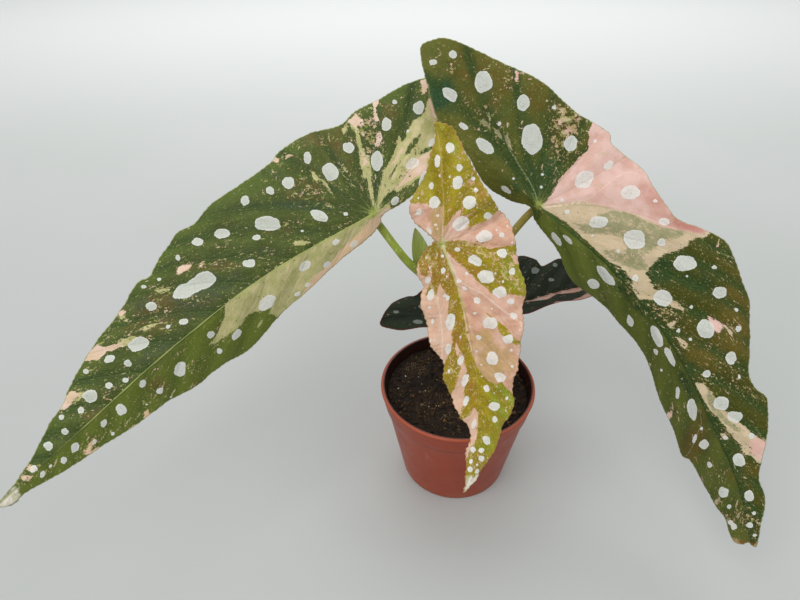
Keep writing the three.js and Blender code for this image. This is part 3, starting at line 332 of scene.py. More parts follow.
# Pale patches as rings of (u, v). A hole is green again.
PATCHES = {
    ("blade_left", "pink"): [
        [(-14.6, 47.5), (-20.5, 48.6), (-20.5, 45.6), (-21, 43.6), (-19.8, 40.2), (-17.8, 40.1),
         (-17.5, 42.6), (-16, 40.4), (-15.4, 43.2)],
        [(-31.3, 51.3), (-34.6, 51), (-33.8, 48.4), (-30.6, 46.5), (-29.6, 44.2), (-27.9, 39.3),
         (-26.2, 39.7), (-27.5, 44.2), (-29.7, 47.1)],
        [(-22.4, 33.7), (-25.7, 34.1), (-24.4, 30.8), (-20, 27.1), (-19, 28.5)],
        [(-12.2, 29.6), (-12, 25.8), (-10.8, 22.6), (-8.2, 22.7)],
        [(-58.6, 47.3), (-62.9, 45.4), (-60.2, 41.9), (-55.5, 38.9), (-54.9, 40.9)],
        [(-56.4, 37.4), (-55.4, 30.5), (-54, 24.9), (-51.9, 25.3), (-54.2, 32.9)],
        [(-27.8, 12), (-33, 13), (-40, 12), (-42.6, 11.2), (-41.1, 9), (-37.1, 9.9), (-35.1, 5.7),
         (-29.7, 4.4), (-22.4, 4.9), (-16.3, 4.8), (-15.6, 5.9), (-21.5, 6.9)],
        [(-27.7, 20.1), (-30.8, 21.3), (-29.4, 19.1), (-21.9, 15.8), (-20.8, 16.5)],
        [(29.8, 50.6), (27.5, 51.2), (26.3, 47.1), (28.4, 46.3)],
        [(89.8, 28.4), (87.5, 28.4), (82.8, 25.8), (85, 24.6), (91.1, 25.2)],
        [(80.3, 24.1), (77.9, 22.9), (81.3, 21.1)],
        [(30, 50.3), (26, 47.6), (27.5, 46.4), (29.7, 48.2)],
        [(145.9, 23.2), (142, 24.6), (137, 25), (134.8, 21), (128.3, 17.7), (129, 15.6), (132.8, 17.4),
         (136.1, 19.2), (138.3, 18.2), (141.1, 18.9)],
        [(167.6, 14.1), (161.6, 16.7), (158.3, 16.5), (156.1, 13.3), (156, 12.1), (159.6, 12.5),
         (162.8, 11.5), (165, 11.8)],
        [(123.8, 29.9), (119.6, 30), (118.5, 27.7), (120.6, 27.2)],
        [(147.3, -18.5), (144, -14.8), (142, -15.3), (143.3, -18.2), (140.3, -19.5), (142.8, -20.5),
         (146.3, -19.2)],
        [(154.6, -16.2), (151.8, -16), (150.5, -17.3), (152.4, -17.9)],
        [(174.5, -9.8), (170.4, -8.1), (167.4, -7.1), (164.3, -6.4), (168.1, -9.2), (171.7, -10.8),
         (168.4, -11.8), (167.3, -12.7), (171.9, -13.4)],
        [(194.7, 4), (192, 3.2), (190.2, 0.8), (192.6, 0.1), (194.2, 2.1)],
        [(197.7, 2.5), (193.7, -0.8), (196.9, -1.3), (198.3, 0.5)],
        [(5.8, -2.2), (9.9, -4.8), (17, -6.6), (23.9, -9.6), (32, -13.1), (39.7, -13.5), (45.6, -17.4),
         (52.5, -20.8), (60.5, -22.1), (62.3, -22.5), (60.2, -24.9), (49.6, -22.9), (31.4, -17.8),
         (23.2, -16.4), (9.3, -14.4)],
        [(-8, -1), (3, -2), (10, -5), (24, -9), (30, -15), (10, -14), (-8, -8)],
    ],
    ("blade_left", "cream"): [
        [(-15.2, 44.1), (-15.8, 39.6), (-15.4, 36.5), (-12.6, 31), (-10.3, 26), (-12.2, 24.9), (-14.9, 27.9),
         (-15.7, 27.4), (-11.8, 23.6), (-11, 19.4), (-8.2, 14.9), (-5, 9.2), (-1.9, 1.4), (-1.1, 1.8),
         (-3, 8.9), (-4.9, 13.8), (-6.4, 16.8), (-4.8, 17.8), (-8.3, 24.1), (-11, 29.6), (-11.5, 33.3),
         (-13.8, 38.3)],
        [(-1.6, 0.8), (-7.7, 7.6), (-15.4, 15.1), (-22.2, 18.7), (-28.1, 23), (-32.3, 27.2), (-31.4, 23.4),
         (-34.5, 24.6), (-37.9, 27.4), (-43.3, 29.8), (-46.8, 29.3), (-51.7, 32), (-55.6, 33.3),
         (-55.3, 28.1), (-54.7, 23.6), (-52.1, 24.4), (-50.6, 19.8), (-42.8, 8.1), (-38.2, 9.2),
         (-34.3, 3.9), (-27.3, 4.3), (-22.3, 3.5), (-16.1, 3.3), (-15.2, 5.4), (-8.5, 4.2), (-2.4, 0.3)],
        [(1.5, 0.3), (13.6, 0.3), (31, 0.3), (50.2, 0.3), (69.1, 0.3), (82.5, 0.3), (87.8, -5.6),
         (95.3, -9.6), (100.8, -11.6), (99.2, -13.3), (90.4, -13.6), (83.3, -13.5), (78.2, -11.4),
         (73.9, -13), (69.3, -15.2), (66.1, -14.9), (69.7, -18), (67.7, -21.1), (68, -24.1), (62.8, -23.3),
         (57.7, -24.3), (48.4, -22.6), (38.7, -21), (29.9, -18.8), (21.8, -17.3), (7.1, -13.7)],
        [(128.3, 17.7), (123, 16.7), (122.1, 14.2), (127.5, 15.1)],
        [(118.2, 15.7), (116.3, 15.8), (111.6, 13.2), (114, 12.6), (117.7, 13.9)],
        [(103, 27.5), (96.8, 22.9), (99.9, 22.5), (102.7, 25.1)],
        [(40.6, 6.5), (37.2, 5.4), (33.4, 2.7), (36.9, 2.9), (40.4, 4.5)],
        [(15.8, 34.5), (15, 33.2), (14.2, 28.8), (16.4, 27.4), (16.9, 31.2)],
        [(13.9, 28.7), (12.2, 23.8), (12.9, 18.1), (13.3, 20.6), (13.9, 24.8)],
        [(-0.3, 29.2), (-0.4, 27.6), (0, 24.6), (1, 26)],
        [(19, 16.3), (16.1, 13.2), (15.8, 11.9), (18.2, 14.4)],
        [(-9.5, 45.5), (-12.2, 46.2), (-11.9, 43.8), (-8.6, 42.2)],
        [(102.8, 26.9), (99.9, 25.6), (98.4, 22.4), (101.1, 23.8)],
        [(157, 12.1), (152, 11.2), (155, 11.1), (159.4, 10.3)],
        [(122, 26.5), (119.9, 24.3), (121.1, 23.9)],
        [(153.6, -12.2), (149.5, -12.1), (151.4, -13.1), (153.8, -13.5)],
        [(116.1, -15.7), (113.2, -15), (115.1, -16.3)],
        [(78.8, -20.1), (74.4, -18.9), (76.4, -20.3), (78.2, -20.7)],
        [(-8, 0.4), (34, 0.3), (34, -12), (10, -9), (-8, -5)],
    ],
    ("blade_left", "hole"): [
        [(-41.6, 22), (-39.2, 19.5), (-34.8, 17.4), (-27.4, 16), (-26.9, 17.1), (-31.7, 19.2), (-36.7, 21)],
        [
            (-33.4, 15.9), (-37.2, 14.8), (-43, 14.2), (-44.6, 13.1), (-42.7, 12), (-38.5, 12.1),
            (-33.2, 13.3),
        ],
        [(-27.6, 8.2), (-23.4, 5.8), (-18.5, 4.6), (-18.2, 5.9), (-21.8, 7.5), (-24.2, 7.6)],
        [(-27.2, 15.7), (-22.3, 14), (-15.8, 10.3), (-15.7, 11.1), (-21.7, 14.4)],
    ],
    ("blade_left", "white"): [
        [(212.4, 0.2), (205.9, 0.3), (202.7, 0.8), (201.7, -0.6), (203.5, -2), (206.6, -2), (214.1, -2)],
        [(212.3, 0.2), (207, -0.8), (203.2, -2.4), (204.5, -4.3), (207.9, -4.6), (214.8, -2.1)],
    ],
    ("blade_right", "pink"): [
        [(1.4, 0.3), (1.6, 5), (1.1, 10.5), (-0.5, 15.1), (-0.1, 20), (0.4, 24.9), (0, 30.9), (1.2, 35.6),
         (-1.7, 39.5), (-4.3, 41.7), (-5, 47), (4.5, 48.1), (9.3, 48.2), (11.6, 45.4), (20.5, 46.6),
         (27.9, 48), (35, 44), (41.1, 41.2), (48.4, 40.3), (56.1, 43), (63.8, 49.5), (64.9, 48.4),
         (62, 42.7), (58.7, 39.4), (54.6, 35.8), (49.3, 31.6), (44.6, 29), (39.1, 27.3), (30.7, 22.6),
         (19.9, 17.3), (13.7, 13.8), (7, 7.4), (3.4, 2.9)],
        [(92.3, 21.9), (94.7, 23.2), (98.6, 25.5), (100.4, 25.5), (101.6, 21.4), (98, 20.9), (94.4, 21.3)],
        [(154.8, 12), (154.5, 16.2), (159.2, 20.6), (168.4, 16.6), (164.4, 13.1), (160.1, 11.3)],
        [(-49, 43.3), (-46.3, 43.6), (-45.3, 42.3), (-44.1, 39.1), (-44.9, 38.7)],
        [(134.8, -28), (132.2, -20.3), (135.8, -22.6), (138.4, -27.3)],
        [(104.2, -21.9), (105, -20.3), (106, -21.7)],
    ],
    ("blade_right", "cream"): [
        [(1.8, -0.1), (3.4, 2.9), (7, 7.4), (13.7, 13.8), (19.9, 17.3), (30.7, 22.6), (39.1, 27.3),
         (44.6, 29), (49.3, 31.6), (54.6, 35.8), (58.7, 39.4), (62, 42.7), (64.2, 46.3), (62.6, 39.2),
         (61.8, 36.8), (62.6, 33.7), (61.5, 29.1), (59.3, 23.6), (58.3, 19.9), (59.2, 14.4), (59.8, 10.8),
         (64.1, 9.3), (68.5, 9.2), (71.1, 11.4), (76.9, 12.2), (81.3, 14.1), (85.1, 14), (82.1, 11.7),
         (78.3, 9.4), (74.1, 7.3), (71, 4.4), (67.5, -0.4), (60.2, 1.5), (52, 2), (40.4, 1.4), (28.7, 1.5),
         (16.1, 2.1), (6.8, 1)],
        [(116.7, 0.8), (119.6, 4.2), (125.6, 6.3), (132, 5.9), (136.7, 8.7), (143.2, 11.5), (149.8, 14.3),
         (154.8, 16.1), (158.3, 18.5), (167.5, 16.2), (165.5, 13), (161.4, 10.7), (160.4, 7.2), (155.3, 8.2),
         (149.4, 6.3), (143.5, 4.9), (136.6, 3.1), (131.9, 1.9), (126.5, 1.1)],
        [(92.5, 3.6), (96.2, 6), (99.2, 6.7), (100.2, 3.8), (96.5, 3.7)],
        [(85.4, 3.4), (88.9, 5.5), (87.6, 3.7)],
        [(101, 26.8), (105.6, 27.6), (102.5, 27.3)],
        [(101, 26.8), (104, 28.1), (106, 27.1), (103.7, 26.2)],
        [(84.8, 3.8), (86.1, 7.6), (88.3, 5.2), (86.6, 3.4)],
        [(187.6, -17.5), (182.4, -13.5), (182.9, -12.3), (187.5, -15.6)],
        [(145.2, 1.3), (146.3, 3.6), (148.8, 4.2), (148.4, 1.5)],
        [(193.8, -13), (194, -7.8), (196.8, -9.3), (194.4, -12.2)],
        [(193.6, 3.5), (193.6, 5.8), (195.8, 5)],
    ],
    ("blade_right", "sage"): [
        [(18.5, 4.1), (24.5, 7.9), (25.5, 12.7), (25.5, 14.9), (28.8, 20.6), (35.6, 25.2), (43.7, 28),
         (49.4, 31.4), (54.8, 35.6), (58.8, 39.3), (57.2, 33.2), (53.8, 27), (54.1, 20), (52.9, 14.5),
         (57.8, 13.8), (59.2, 11.6), (54.5, 7.4), (47.9, 3.9), (40.9, 2.9), (38.4, 3.4), (41, 6.9),
         (46.8, 8.8), (44.8, 11.8), (40.1, 14.8), (36.2, 12), (31.6, 7.8), (26.4, 4.2)],
        [(122.3, 4.6), (127, 5.7), (135.8, 6.6), (143.7, 8.9), (148.8, 12.3), (148.2, 9.3), (142.1, 5.5),
         (135.9, 3.4), (128.8, 2.5)],
        [(-33.3, 15.9), (-33, 17.2), (-29.5, 15.2), (-27.9, 13.2), (-29.1, 12.6), (-31.6, 14.1)],
        [(-47.2, 14.6), (-45.2, 15.4), (-40.6, 13.8), (-42.1, 13.3), (-44.6, 13.7)],
        [(-40.5, 15), (-37.5, 15.4), (-32.9, 13.3), (-34.3, 12.8), (-37.7, 13.5)],
        [(-47.4, 18.7), (-45.7, 19.5), (-42.7, 17.8), (-43, 16.6), (-45.5, 17)],
    ],
    ("blade_right", "hole"): [[(45.7, 2.1), (51.9, 4), (58, 3.3), (60.1, 2.4), (55.1, 1.2)]],
    ("blade_centre", "pink"): [
        [(-24, -5.3), (-20.9, -1.2), (-19.5, 1.9), (-17.6, 2.3), (-15.7, 3.4), (-15.5, 5.6), (-14.7, 7.4),
         (-11, 5.8), (-6.9, 3.6), (-3.5, 1.2), (-1.2, -1.2), (-5.1, -3.3), (-11.4, -5.4), (-15.6, -9.6)],
        [(-1.3, 0.4), (-5.6, 2.6), (-7.8, 7.3), (-10, 10.7), (-10.3, 14.1), (-8.1, 12), (-7.3, 17.6),
         (-5.9, 15.1), (-3.1, 14.7), (-0.7, 12.6), (-1.6, 18), (-1.6, 23.1), (-3.4, 28.6), (0.3, 33.7),
         (5.5, 33.5), (11.1, 34.6), (14.1, 33.5), (13.1, 29.3), (11, 19.7), (8.4, 16.8), (6.6, 14.9),
         (3.8, 10.9), (1.6, 7.2), (-0.4, 1.3)],
        [(17, 27.3), (17.7, 30.6), (19.8, 33.5), (23.1, 33.4), (21.1, 29.1)],
        [(3.6, 0.8), (9.6, 2.8), (14.5, 6.1), (23.5, 10.1), (30.2, 14.6), (36.4, 20.1), (40.1, 23.8),
         (43.2, 29.8), (46.4, 29.8), (37.8, -0.2), (32.4, -0.8), (15.9, -0.2)],
        [(24.5, 0.2), (31.9, -0.7), (44, -1.6), (56.6, -0.6), (62.2, 0.8), (66.5, 2.7), (70.5, 5.5),
         (72.4, 8.6), (72.5, 11.9), (76.1, 14.8), (80, 17.5), (80.3, 20.5), (72.4, 23.2), (58.2, 27.3),
         (41.5, 30.8), (36.5, 31.2), (29.3, 13.5)],
        [(4, -15.3), (5.8, -14), (11.8, -14.3), (13.1, -11.8), (8.6, -8.5), (11.9, -8.9), (17.6, -12.8),
         (21.7, -16.4), (26.2, -18.5), (35.3, -19.9), (34.7, -24.1), (13.9, -19.8)],
        [(17.6, -7.3), (20.3, -7.1), (25.9, -5.6), (30.3, -6.9), (36.7, -9.2), (35.3, -20.2), (28.4, -18.1),
         (25.3, -12.3), (21.7, -9.8)],
        [(22.4, -20), (23.5, -11.1), (27.1, -6.6), (33.6, -8.1), (41.7, -7.4), (47, -8.8), (53.7, -10.9),
         (60.6, -15.1), (62, -16.6), (59.1, -20.1), (45.9, -23.2), (31.2, -23.2)],
        [(48.5, -7.7), (51.2, -6.6), (56.6, -4.9), (63.3, -4.2), (72.5, -6.3), (77.7, -6.8), (87.4, -9.4),
         (86.4, -13.2), (78.1, -15.2), (75.3, -13.6), (73.9, -11.9), (68.6, -9.6), (62, -6.9), (57.3, -7.6),
         (53.8, -8.3)],
        [(89.9, -9.4), (86.9, -5.2), (82, -2.1), (86.5, -0.9), (93.1, -1.1), (99.4, -1.3), (106, -3.4),
         (111.6, -4), (109.9, -7.2), (99, -7.8)],
    ],
    ("blade_centre", "hole"): [
        [(37.4, 9.2), (40.3, 12.1), (44.2, 15.1), (47.2, 17.8), (50.6, 19.2), (53.6, 21.7), (55.7, 24),
         (58.2, 24.6), (55, 19.8), (52, 16.3), (47.7, 13.8), (44.4, 13.1)],
    ],
    ("blade_centre", "sage"): [
        [(41.6, 1.5), (47, 6.8), (56.5, 14.3), (61.2, 19), (68.6, 17.6), (72.6, 12.5), (71.1, 6.1),
         (63.7, 1.7), (56.8, 0.1)],
    ],
    ("blade_centre", "white"): [
        [(129.9, -0.3), (121.3, 1.9), (118.4, 3.7), (118.4, 6.6), (123.1, 5.4), (127.4, 2.4)],
        [(130.3, -0.9), (120.4, -0.6), (118.9, 1), (120.5, 2), (125.9, 1.9)],
    ],
    ("blade_back", "pink"): [
        [(37, -0.6), (48, 0.6), (62, 0.8), (76, 0.6), (92, 0.8), (112, 0.5), (112, -7), (96, -8.5),
         (84, -8.5), (74, -7), (62, -4.2), (52, -5.5), (44, -5.8), (39, -3)],
        [(50, -14), (60, -15.5), (72, -16), (86, -14.5), (98, -12), (98, -16), (82, -21), (66, -22),
         (50, -18)],
    ],
}

# Soft blobs, each as (u, v, long half-axis, short half-axis, angle, strength): fleck where freckles crowd,
# olive tones of the green, teal tones that are a painted sheen on the left blade, deep and tan tones of the
# pink.
TONES = {
    ("blade_left", "fleck"): [
        (22.3, 25, 8.7, 5, 53, 1.1), (22.6, 35.6, 5, 4.4, 100, 0.7), (-19.7, 34.8, 13.6, 5.8, 118, 1.5),
        (0.2, 26.3, 6.4, 2.8, 94, 1), (1.9, 20.7, 7.9, 6.5, 25, 0.6), (0.8, 43.4, 10.8, 5.3, 40, 0.6),
        (12.5, 51.3, 6.5, 3.5, 177, 0.8), (22.9, 48.5, 4.5, 2.6, 176, 0.9), (35.3, 44.7, 6.6, 2.9, 72, 0.9),
        (-38.9, 41.8, 4.7, 2.6, 32, 0.6), (35.2, 14.7, 7.2, 2.3, 32, 0.9), (15, 13.6, 6, 1.9, 45, 0.6),
        (40.3, 9.8, 5.7, 2.3, 32, 0.5), (67.1, 23.6, 7.1, 1.9, 40, 0.9), (75.1, 18.7, 9.3, 2.5, 46, 1.1),
        (53.7, 7.9, 6.4, 1.8, 35, 0.9), (55.4, 3.7, 7.1, 3.3, 35, 0.5), (-23.5, 8.2, 7.9, 2.3, 166, 1.3),
        (-17, -0.5, 7.8, 1.9, 166, 0.8), (-37, 14.9, 4.8, 1.9, 175, 1), (100.4, 24.8, 5.5, 2.4, 44, 1.2),
        (106.4, 21.7, 4.4, 1.7, 11, 1), (90.6, 9.7, 6.1, 2, 41, 1.2), (106, 17.1, 4.6, 2.3, 44, 1),
        (111, 15.3, 6.9, 3.5, 44, 0.9), (117.2, 15.8, 7.2, 2.8, 24, 1.1), (125.8, 17.9, 5.8, 2, 30, 1),
        (118.7, 28, 3.5, 2.3, 55, 0.9), (132.2, 24.4, 5, 2.4, 150, 1), (108.9, 9.3, 3.5, 2.7, 49, 1),
        (117.8, 11.2, 3.8, 2.3, 47, 1), (145.3, 17.2, 3.1, 2.2, 54, 0.9), (143.1, 4.4, 5.2, 2.2, 47, 0.9),
        (135.5, 3.1, 3.6, 1.6, 14, 0.9), (147.5, 2.6, 3.7, 2.2, 48, 1), (158.6, 5.4, 5.7, 4.6, 13, 0.8),
        (161.1, 13, 4.4, 1.5, 19, 0.8), (196.6, 1.5, 4.3, 3.7, 114, 1.3), (112.3, -15.4, 6.7, 4.3, 147, 0.9),
        (112.1, -4.4, 3.1, 2.1, 158, 0.8), (125, -2.5, 3.7, 1.7, 173, 0.9), (109, -15.1, 4.8, 2.3, 166, 0.8),
        (120.8, -24.2, 7, 3, 16, 0.8), (132.8, -10.9, 6.9, 6, 150, 0.9), (140.3, -12.5, 3.8, 2.6, 65, 0.8),
        (153, -12.2, 6.5, 2.6, 176, 1), (159.3, -7.6, 4.3, 2.5, 172, 0.8), (167.3, -7.9, 5.3, 4, 122, 1.1),
        (176.6, -6.7, 7.1, 3.3, 179, 0.8), (188, -4, 7, 2.4, 0, 0.7),
    ],
    ("blade_left", "olive"): [
        (1.1, 47.6, 21.2, 9.1, 51, 0.6), (1.4, 31.8, 12.2, 8.4, 27, 0.5), (22.9, 25.4, 11.1, 7.1, 32, 0.5),
        (75.1, 18.7, 11.3, 3.3, 40, 0.8), (108.6, 17.3, 14.9, 8.9, 24, 0.8), (91, 9, 9.1, 2.8, 31, 0.8),
        (-32.8, 39.6, 8.6, 6.2, 124, 0.5), (130.3, -8.3, 7.4, 5.3, 174, 0.6),
        (114.3, -20.3, 6.5, 4.6, 157, 0.4), (157.5, 2.1, 7, 3.8, 9, 0.5), (40.7, 13.6, 17.8, 2.3, 32, 0.5),
    ],
    ("blade_left", "teal"): [
        (87.4, 10.1, 17.9, 8.1, 14, 0.75), (118.3, 3.2, 15.2, 4.3, 2, 0.65), (29.4, 21, 16.4, 2.3, 34, 0.9),
        (-8.2, 11, 8.6, 3.4, 122, 0.7), (54.9, 11.4, 14.8, 2.2, 39, 0.5), (112.6, 26.3, 5.9, 5, 18, 0.6),
        (-44.6, 29.3, 10.8, 3.1, 124, 0.5), (32.3, 42.6, 11.7, 4.6, 57, 0.4),
        (131.8, 25, 5.8, 4.8, 137, 0.3),
    ],
    ("blade_right", "fleck"): [
        (-13.1, 36.6, 12.8, 6.9, 120, 2.4), (-2.5, 28.8, 7.3, 3.9, 79, 1.1),
        (-42.6, 16.1, 15.3, 4.3, 173, 1), (-72.3, 25.9, 7.3, 3.2, 168, 0.8),
        (-78.5, 19.6, 4.3, 3.7, 131, 0.7), (-53, 33.2, 10.9, 7.1, 36, 0.5), (-45.5, 35.3, 4.7, 3.2, 37, 0.9),
        (-50.1, 38.9, 7.3, 4.3, 37, 0.6), (-46.6, 27.3, 7.1, 5.8, 129, 0.6), (-47.4, 18.7, 5.8, 5.7, 21, 1),
        (80.2, 7.5, 10.1, 6.4, 24, 1.3), (97.7, 4.7, 5.4, 5.3, 139, 1), (105.4, 18.7, 13.3, 10.2, 67, 0.45),
        (115, 17.1, 5.4, 3.1, 65, 1.1), (116.5, 7.9, 6.4, 4.3, 64, 0.9), (101.5, 28.6, 6.4, 3.9, 67, 0.9),
        (133.9, 24.8, 7.7, 4.4, 34, 0.9), (123, 16.7, 13.4, 7.5, 45, 0.8), (71.4, 44.8, 8.3, 3.9, 58, 0.8),
        (79.2, 46, 5.5, 4.6, 88, 0.7), (158.8, 9, 4.3, 3.3, 66, 1), (147.5, 3.4, 4.3, 2.8, 63, 1),
        (169.1, 5, 8.6, 5.5, 70, 0.6), (163.1, -0.8, 5.4, 3.4, 66, 0.7), (189.2, -1.6, 9.6, 6.6, 58, 1.2),
        (194.2, 0.7, 7.4, 5.5, 81, 1), (61.1, 0.9, 6.5, 3.2, 4, 1.2), (58.1, -18.6, 9.4, 3.5, 104, 0.7),
        (132.7, -20.3, 7.3, 4.3, 122, 1), (136.6, -19.4, 4.8, 2.4, 139, 0.9),
        (142.4, -6.9, 4.5, 2.3, 108, 0.8), (182.6, -20.7, 7.8, 3.6, 112, 0.9),
        (194.1, -12.8, 7.9, 4.6, 125, 1.3), (168.9, -11, 12.2, 6, 112, 0.6),
        (93.6, -7.8, 7.1, 4.3, 118, 0.5), (183.3, -12.9, 6.3, 3.8, 139, 1),
    ],
    ("blade_right", "olive"): [
        (-60.1, 30.5, 18.3, 10.6, 17, 0.7), (-31.7, 38.7, 10.7, 9.3, 104, 0.6),
        (99.7, 33.6, 20.2, 8.8, 143, 0.95), (106.1, 11, 16, 11.6, 64, 0.7), (168.3, 2.9, 10.7, 5.1, 69, 0.6),
        (150.9, -16.6, 14.5, 6, 134, 1.2), (-13.4, 36.3, 10.6, 7.3, 128, 0.8),
        (-20.8, 24.7, 10.7, 5.8, 128, 0.3), (136, -3.7, 9, 4.5, 142, 0.8),
    ],
    ("blade_right", "teal"): [
        (-69.2, 12.3, 7.8, 7, 131, 1), (62.8, 16.2, 7.4, 6.3, 132, 1), (78, 28, 12.6, 5.6, 57, 0.6),
        (-7.3, 11.6, 11, 10.9, 19, 0.6), (-13.8, -0.1, 6.1, 2.4, 162, 0.5), (138.5, 0.3, 7.8, 5.4, 17, 0.6),
        (66.6, -2.7, 16.2, 4.3, 7, 0.7), (114.9, -3.7, 17.1, 4.5, 176, 0.6), (56.3, 2.1, 8.2, 2.7, 8, 1),
        (-13, -3, 14, 6, 180, 0.3),
    ],
    ("blade_right", "deep"): [
        (19.6, 42.9, 7.4, 5.6, 96, 0.35), (3.5, 45, 4.8, 4.4, 4, 0.25), (39, 39.7, 12.3, 6.2, 30, 0.6),
        (55.1, 40.9, 12.8, 3.7, 32, 0.9), (17.7, 18.6, 10.9, 2.9, 40, 0.25),
    ],
    ("blade_centre", "fleck"): [
        (-35.6, 21.9, 12.7, 3.9, 153, 0.5), (7, 13.5, 12.2, 2.3, 62, 1.5), (23.4, 22.5, 10.9, 5.6, 70, 1.5),
        (11.4, 16.2, 16.4, 3.4, 58, 1.4), (25.9, 25.2, 7.6, 4.4, 71, 1.2), (20.9, 19.8, 5, 3, 69, 1),
        (30.7, 28.3, 3.7, 3.4, 174, 1), (46.2, 15.8, 4, 3.4, 1, 0.9), (54, 20.7, 2.7, 2, 70, 1),
        (73.6, 9.5, 6.7, 4.1, 74, 0.7), (82.4, 12.3, 8.1, 5.4, 2, 0.8), (93.4, 1.4, 9, 5.3, 7, 0.9),
        (112, 2.1, 10, 5.4, 22, 1.2), (5.4, -8.6, 8.7, 6.2, 152, 1.4), (20.6, -13.2, 5.6, 5, 136, 1.2),
        (14, -3, 10.7, 3.3, 160, 1.2), (28.7, -4.3, 3.5, 2.1, 161, 1.3), (62.8, -10.9, 7.5, 4.3, 169, 1.4),
        (45, -2.1, 11.1, 4.2, 168, 0.9), (67.2, -3.7, 8.8, 2.5, 173, 0.6), (55.5, -5.6, 2.8, 2.5, 145, 1),
        (85.9, -6.3, 2.9, 2.5, 148, 1.1), (110.7, -1.1, 9.2, 3.5, 15, 1.3), (-16.6, 24.4, 3.3, 3.1, 76, 0.6),
        (-7.5, 24.5, 4.1, 2.6, 62, 0.9), (-15.8, 20.3, 10.5, 10, 77, 1), (-24.3, 1, 3.4, 3.3, 15, 0.8),
        (-33.1, 21.3, 9.5, 5.2, 153, 0.4),
    ],
    ("blade_centre", "olive"): [
        (6.2, -8.9, 19.1, 13.2, 153, 1.3), (44.6, -6.3, 13.3, 3.9, 178, 0.8), (6.5, 8.5, 4.8, 2.3, 66, 0.9),
        (71.5, -3.4, 12.9, 3, 1, 0.6), (17.8, 9.5, 5, 3.1, 42, 0.8), (-13.3, 24.2, 4.9, 2.9, 6, 0.7),
        (-32.8, 27, 6.4, 1.9, 3, 0.6),
    ],
    ("blade_centre", "teal"): [
        (24.8, 26.5, 6.8, 6.2, 65, 1), (80.8, 12.4, 10.6, 6.7, 0, 1.1), (102.5, 4.2, 7.4, 4.9, 20, 0.7),
        (-34.5, 21.3, 8, 3.9, 153, 0.4),
    ],
    ("blade_centre", "deep"): [
        (46.7, 5.3, 7.3, 7, 113, 0.6), (62.6, 10.7, 8.9, 7, 67, 0.5), (31.3, 2.7, 8.3, 3.2, 5, 0.6),
        (36.2, -15.8, 7.6, 2.6, 166, 0.4), (40.7, 19.6, 6.9, 3.9, 57, 0.5), (-14.4, 1.1, 5.1, 5.1, 175, 0.4),
    ],
    ("blade_centre", "tan"): [
        (-10.8, 3.1, 8.1, 2.7, 150, 1.3), (61.4, 9.1, 10.4, 8.1, 54, 1), (50.2, 5.5, 6.5, 5.3, 141, 0.8),
    ],
    ("blade_back", "fleck"): [(42.9, -2, 5.8, 3.9, 179, 0.9)],
}


# Numbers along tables and lines

TINY = 1e-12
CHUNK = 1500  # points worked on at a time


def cubic(table, x, column):
    """Values of a table [[x, ...values]] by a cubic through its rows, straight past its ends."""
    rows = np.array(table, float)
    knots, values = rows[:, 0], rows[:, column]
    steps = np.diff(knots)
    rates = np.diff(values) / steps
    slopes = np.empty_like(values)
    slopes[0], slopes[-1] = rates[0], rates[-1]
    slopes[1:-1] = (rates[:-1] * steps[1:] + rates[1:] * steps[:-1]) / (steps[:-1] + steps[1:])
    k = np.clip(np.searchsorted(knots, x, side="left") - 1, 0, len(knots) - 2)
    h = steps[k]
    t = (x - knots[k]) / h
    inner = (
        (2 * t ** 3 - 3 * t ** 2 + 1) * values[k] + (t ** 3 - 2 * t ** 2 + t) * h * slopes[k]
        + (3 * t ** 2 - 2 * t ** 3) * values[k + 1] + (t ** 3 - t ** 2) * h * slopes[k + 1]
    )
    inner = np.where(x <= knots[0], values[0] + (x - knots[0]) * slopes[0], inner)
    return np.where(x >= knots[-1], values[-1] + (x - knots[-1]) * slopes[-1], inner)


def level(table, x):
    """Values of a table [[x, value]] by straight lines."""
    rows = np.array(table, float)
    return np.interp(x, rows[:, 0], rows[:, 1])


def unit(vectors):
    return vectors / np.linalg.norm(vectors, axis=-1, keepdims=True)


def bump(x, width):
    """One at zero, falling off over a width."""
    return np.exp(-(x / width) ** 2)


def grown(x, width):
    """From zero at zero to one at a width and past it."""
    return np.minimum(1, x / width)


def falling(x, width):
    """From one at zero to zero at a width and past it."""
    return np.clip(1 - x / width, 0, 1)


def circle(radius, count, centre=(0, 0)):
    turns = np.arange(count) * 2 * math.pi / count
    return np.stack([centre[0] + radius * np.cos(turns), centre[1] + radius * np.sin(turns)], 1)


def distances(line):
    """How far along a line each of its points is."""
    return np.concatenate([[0], np.cumsum(np.linalg.norm(np.diff(line, axis=0), axis=1))])


def even_steps(line, step):
    """The same line at even distances."""
    run = distances(line)
    count = max(2, int(round(run[-1] / step)))
    at = np.linspace(0, run[-1], count + 1)
    return np.stack([np.interp(at, run, line[:, i]) for i in range(line.shape[1])], 1)


def uniform_curve(points, steps):
    """A Catmull-Rom line with even knots, as in the CAD's outlines."""
    p = np.array(points, float)
    padded = np.vstack([p[0], p, p[-1]])
    k = np.repeat(np.arange(len(p) - 1), steps)
    t = np.tile(np.arange(steps) / steps, len(p) - 1)[:, None]
    a, b, c, d = padded[k], padded[k + 1], padded[k + 2], padded[k + 3]
    line = 0.5 * (2 * b + (c - a) * t + (2 * a - 5 * b + 4 * c - d) * t ** 2
                  + (3 * b - a - 3 * c + d) * t ** 3)
    return np.vstack([line, p[-1]])


def between(start, end, t, first, last):
    """From first at the start to last at the end."""
    return (end - t) / (end - start) * first + (t - start) / (end - start) * last


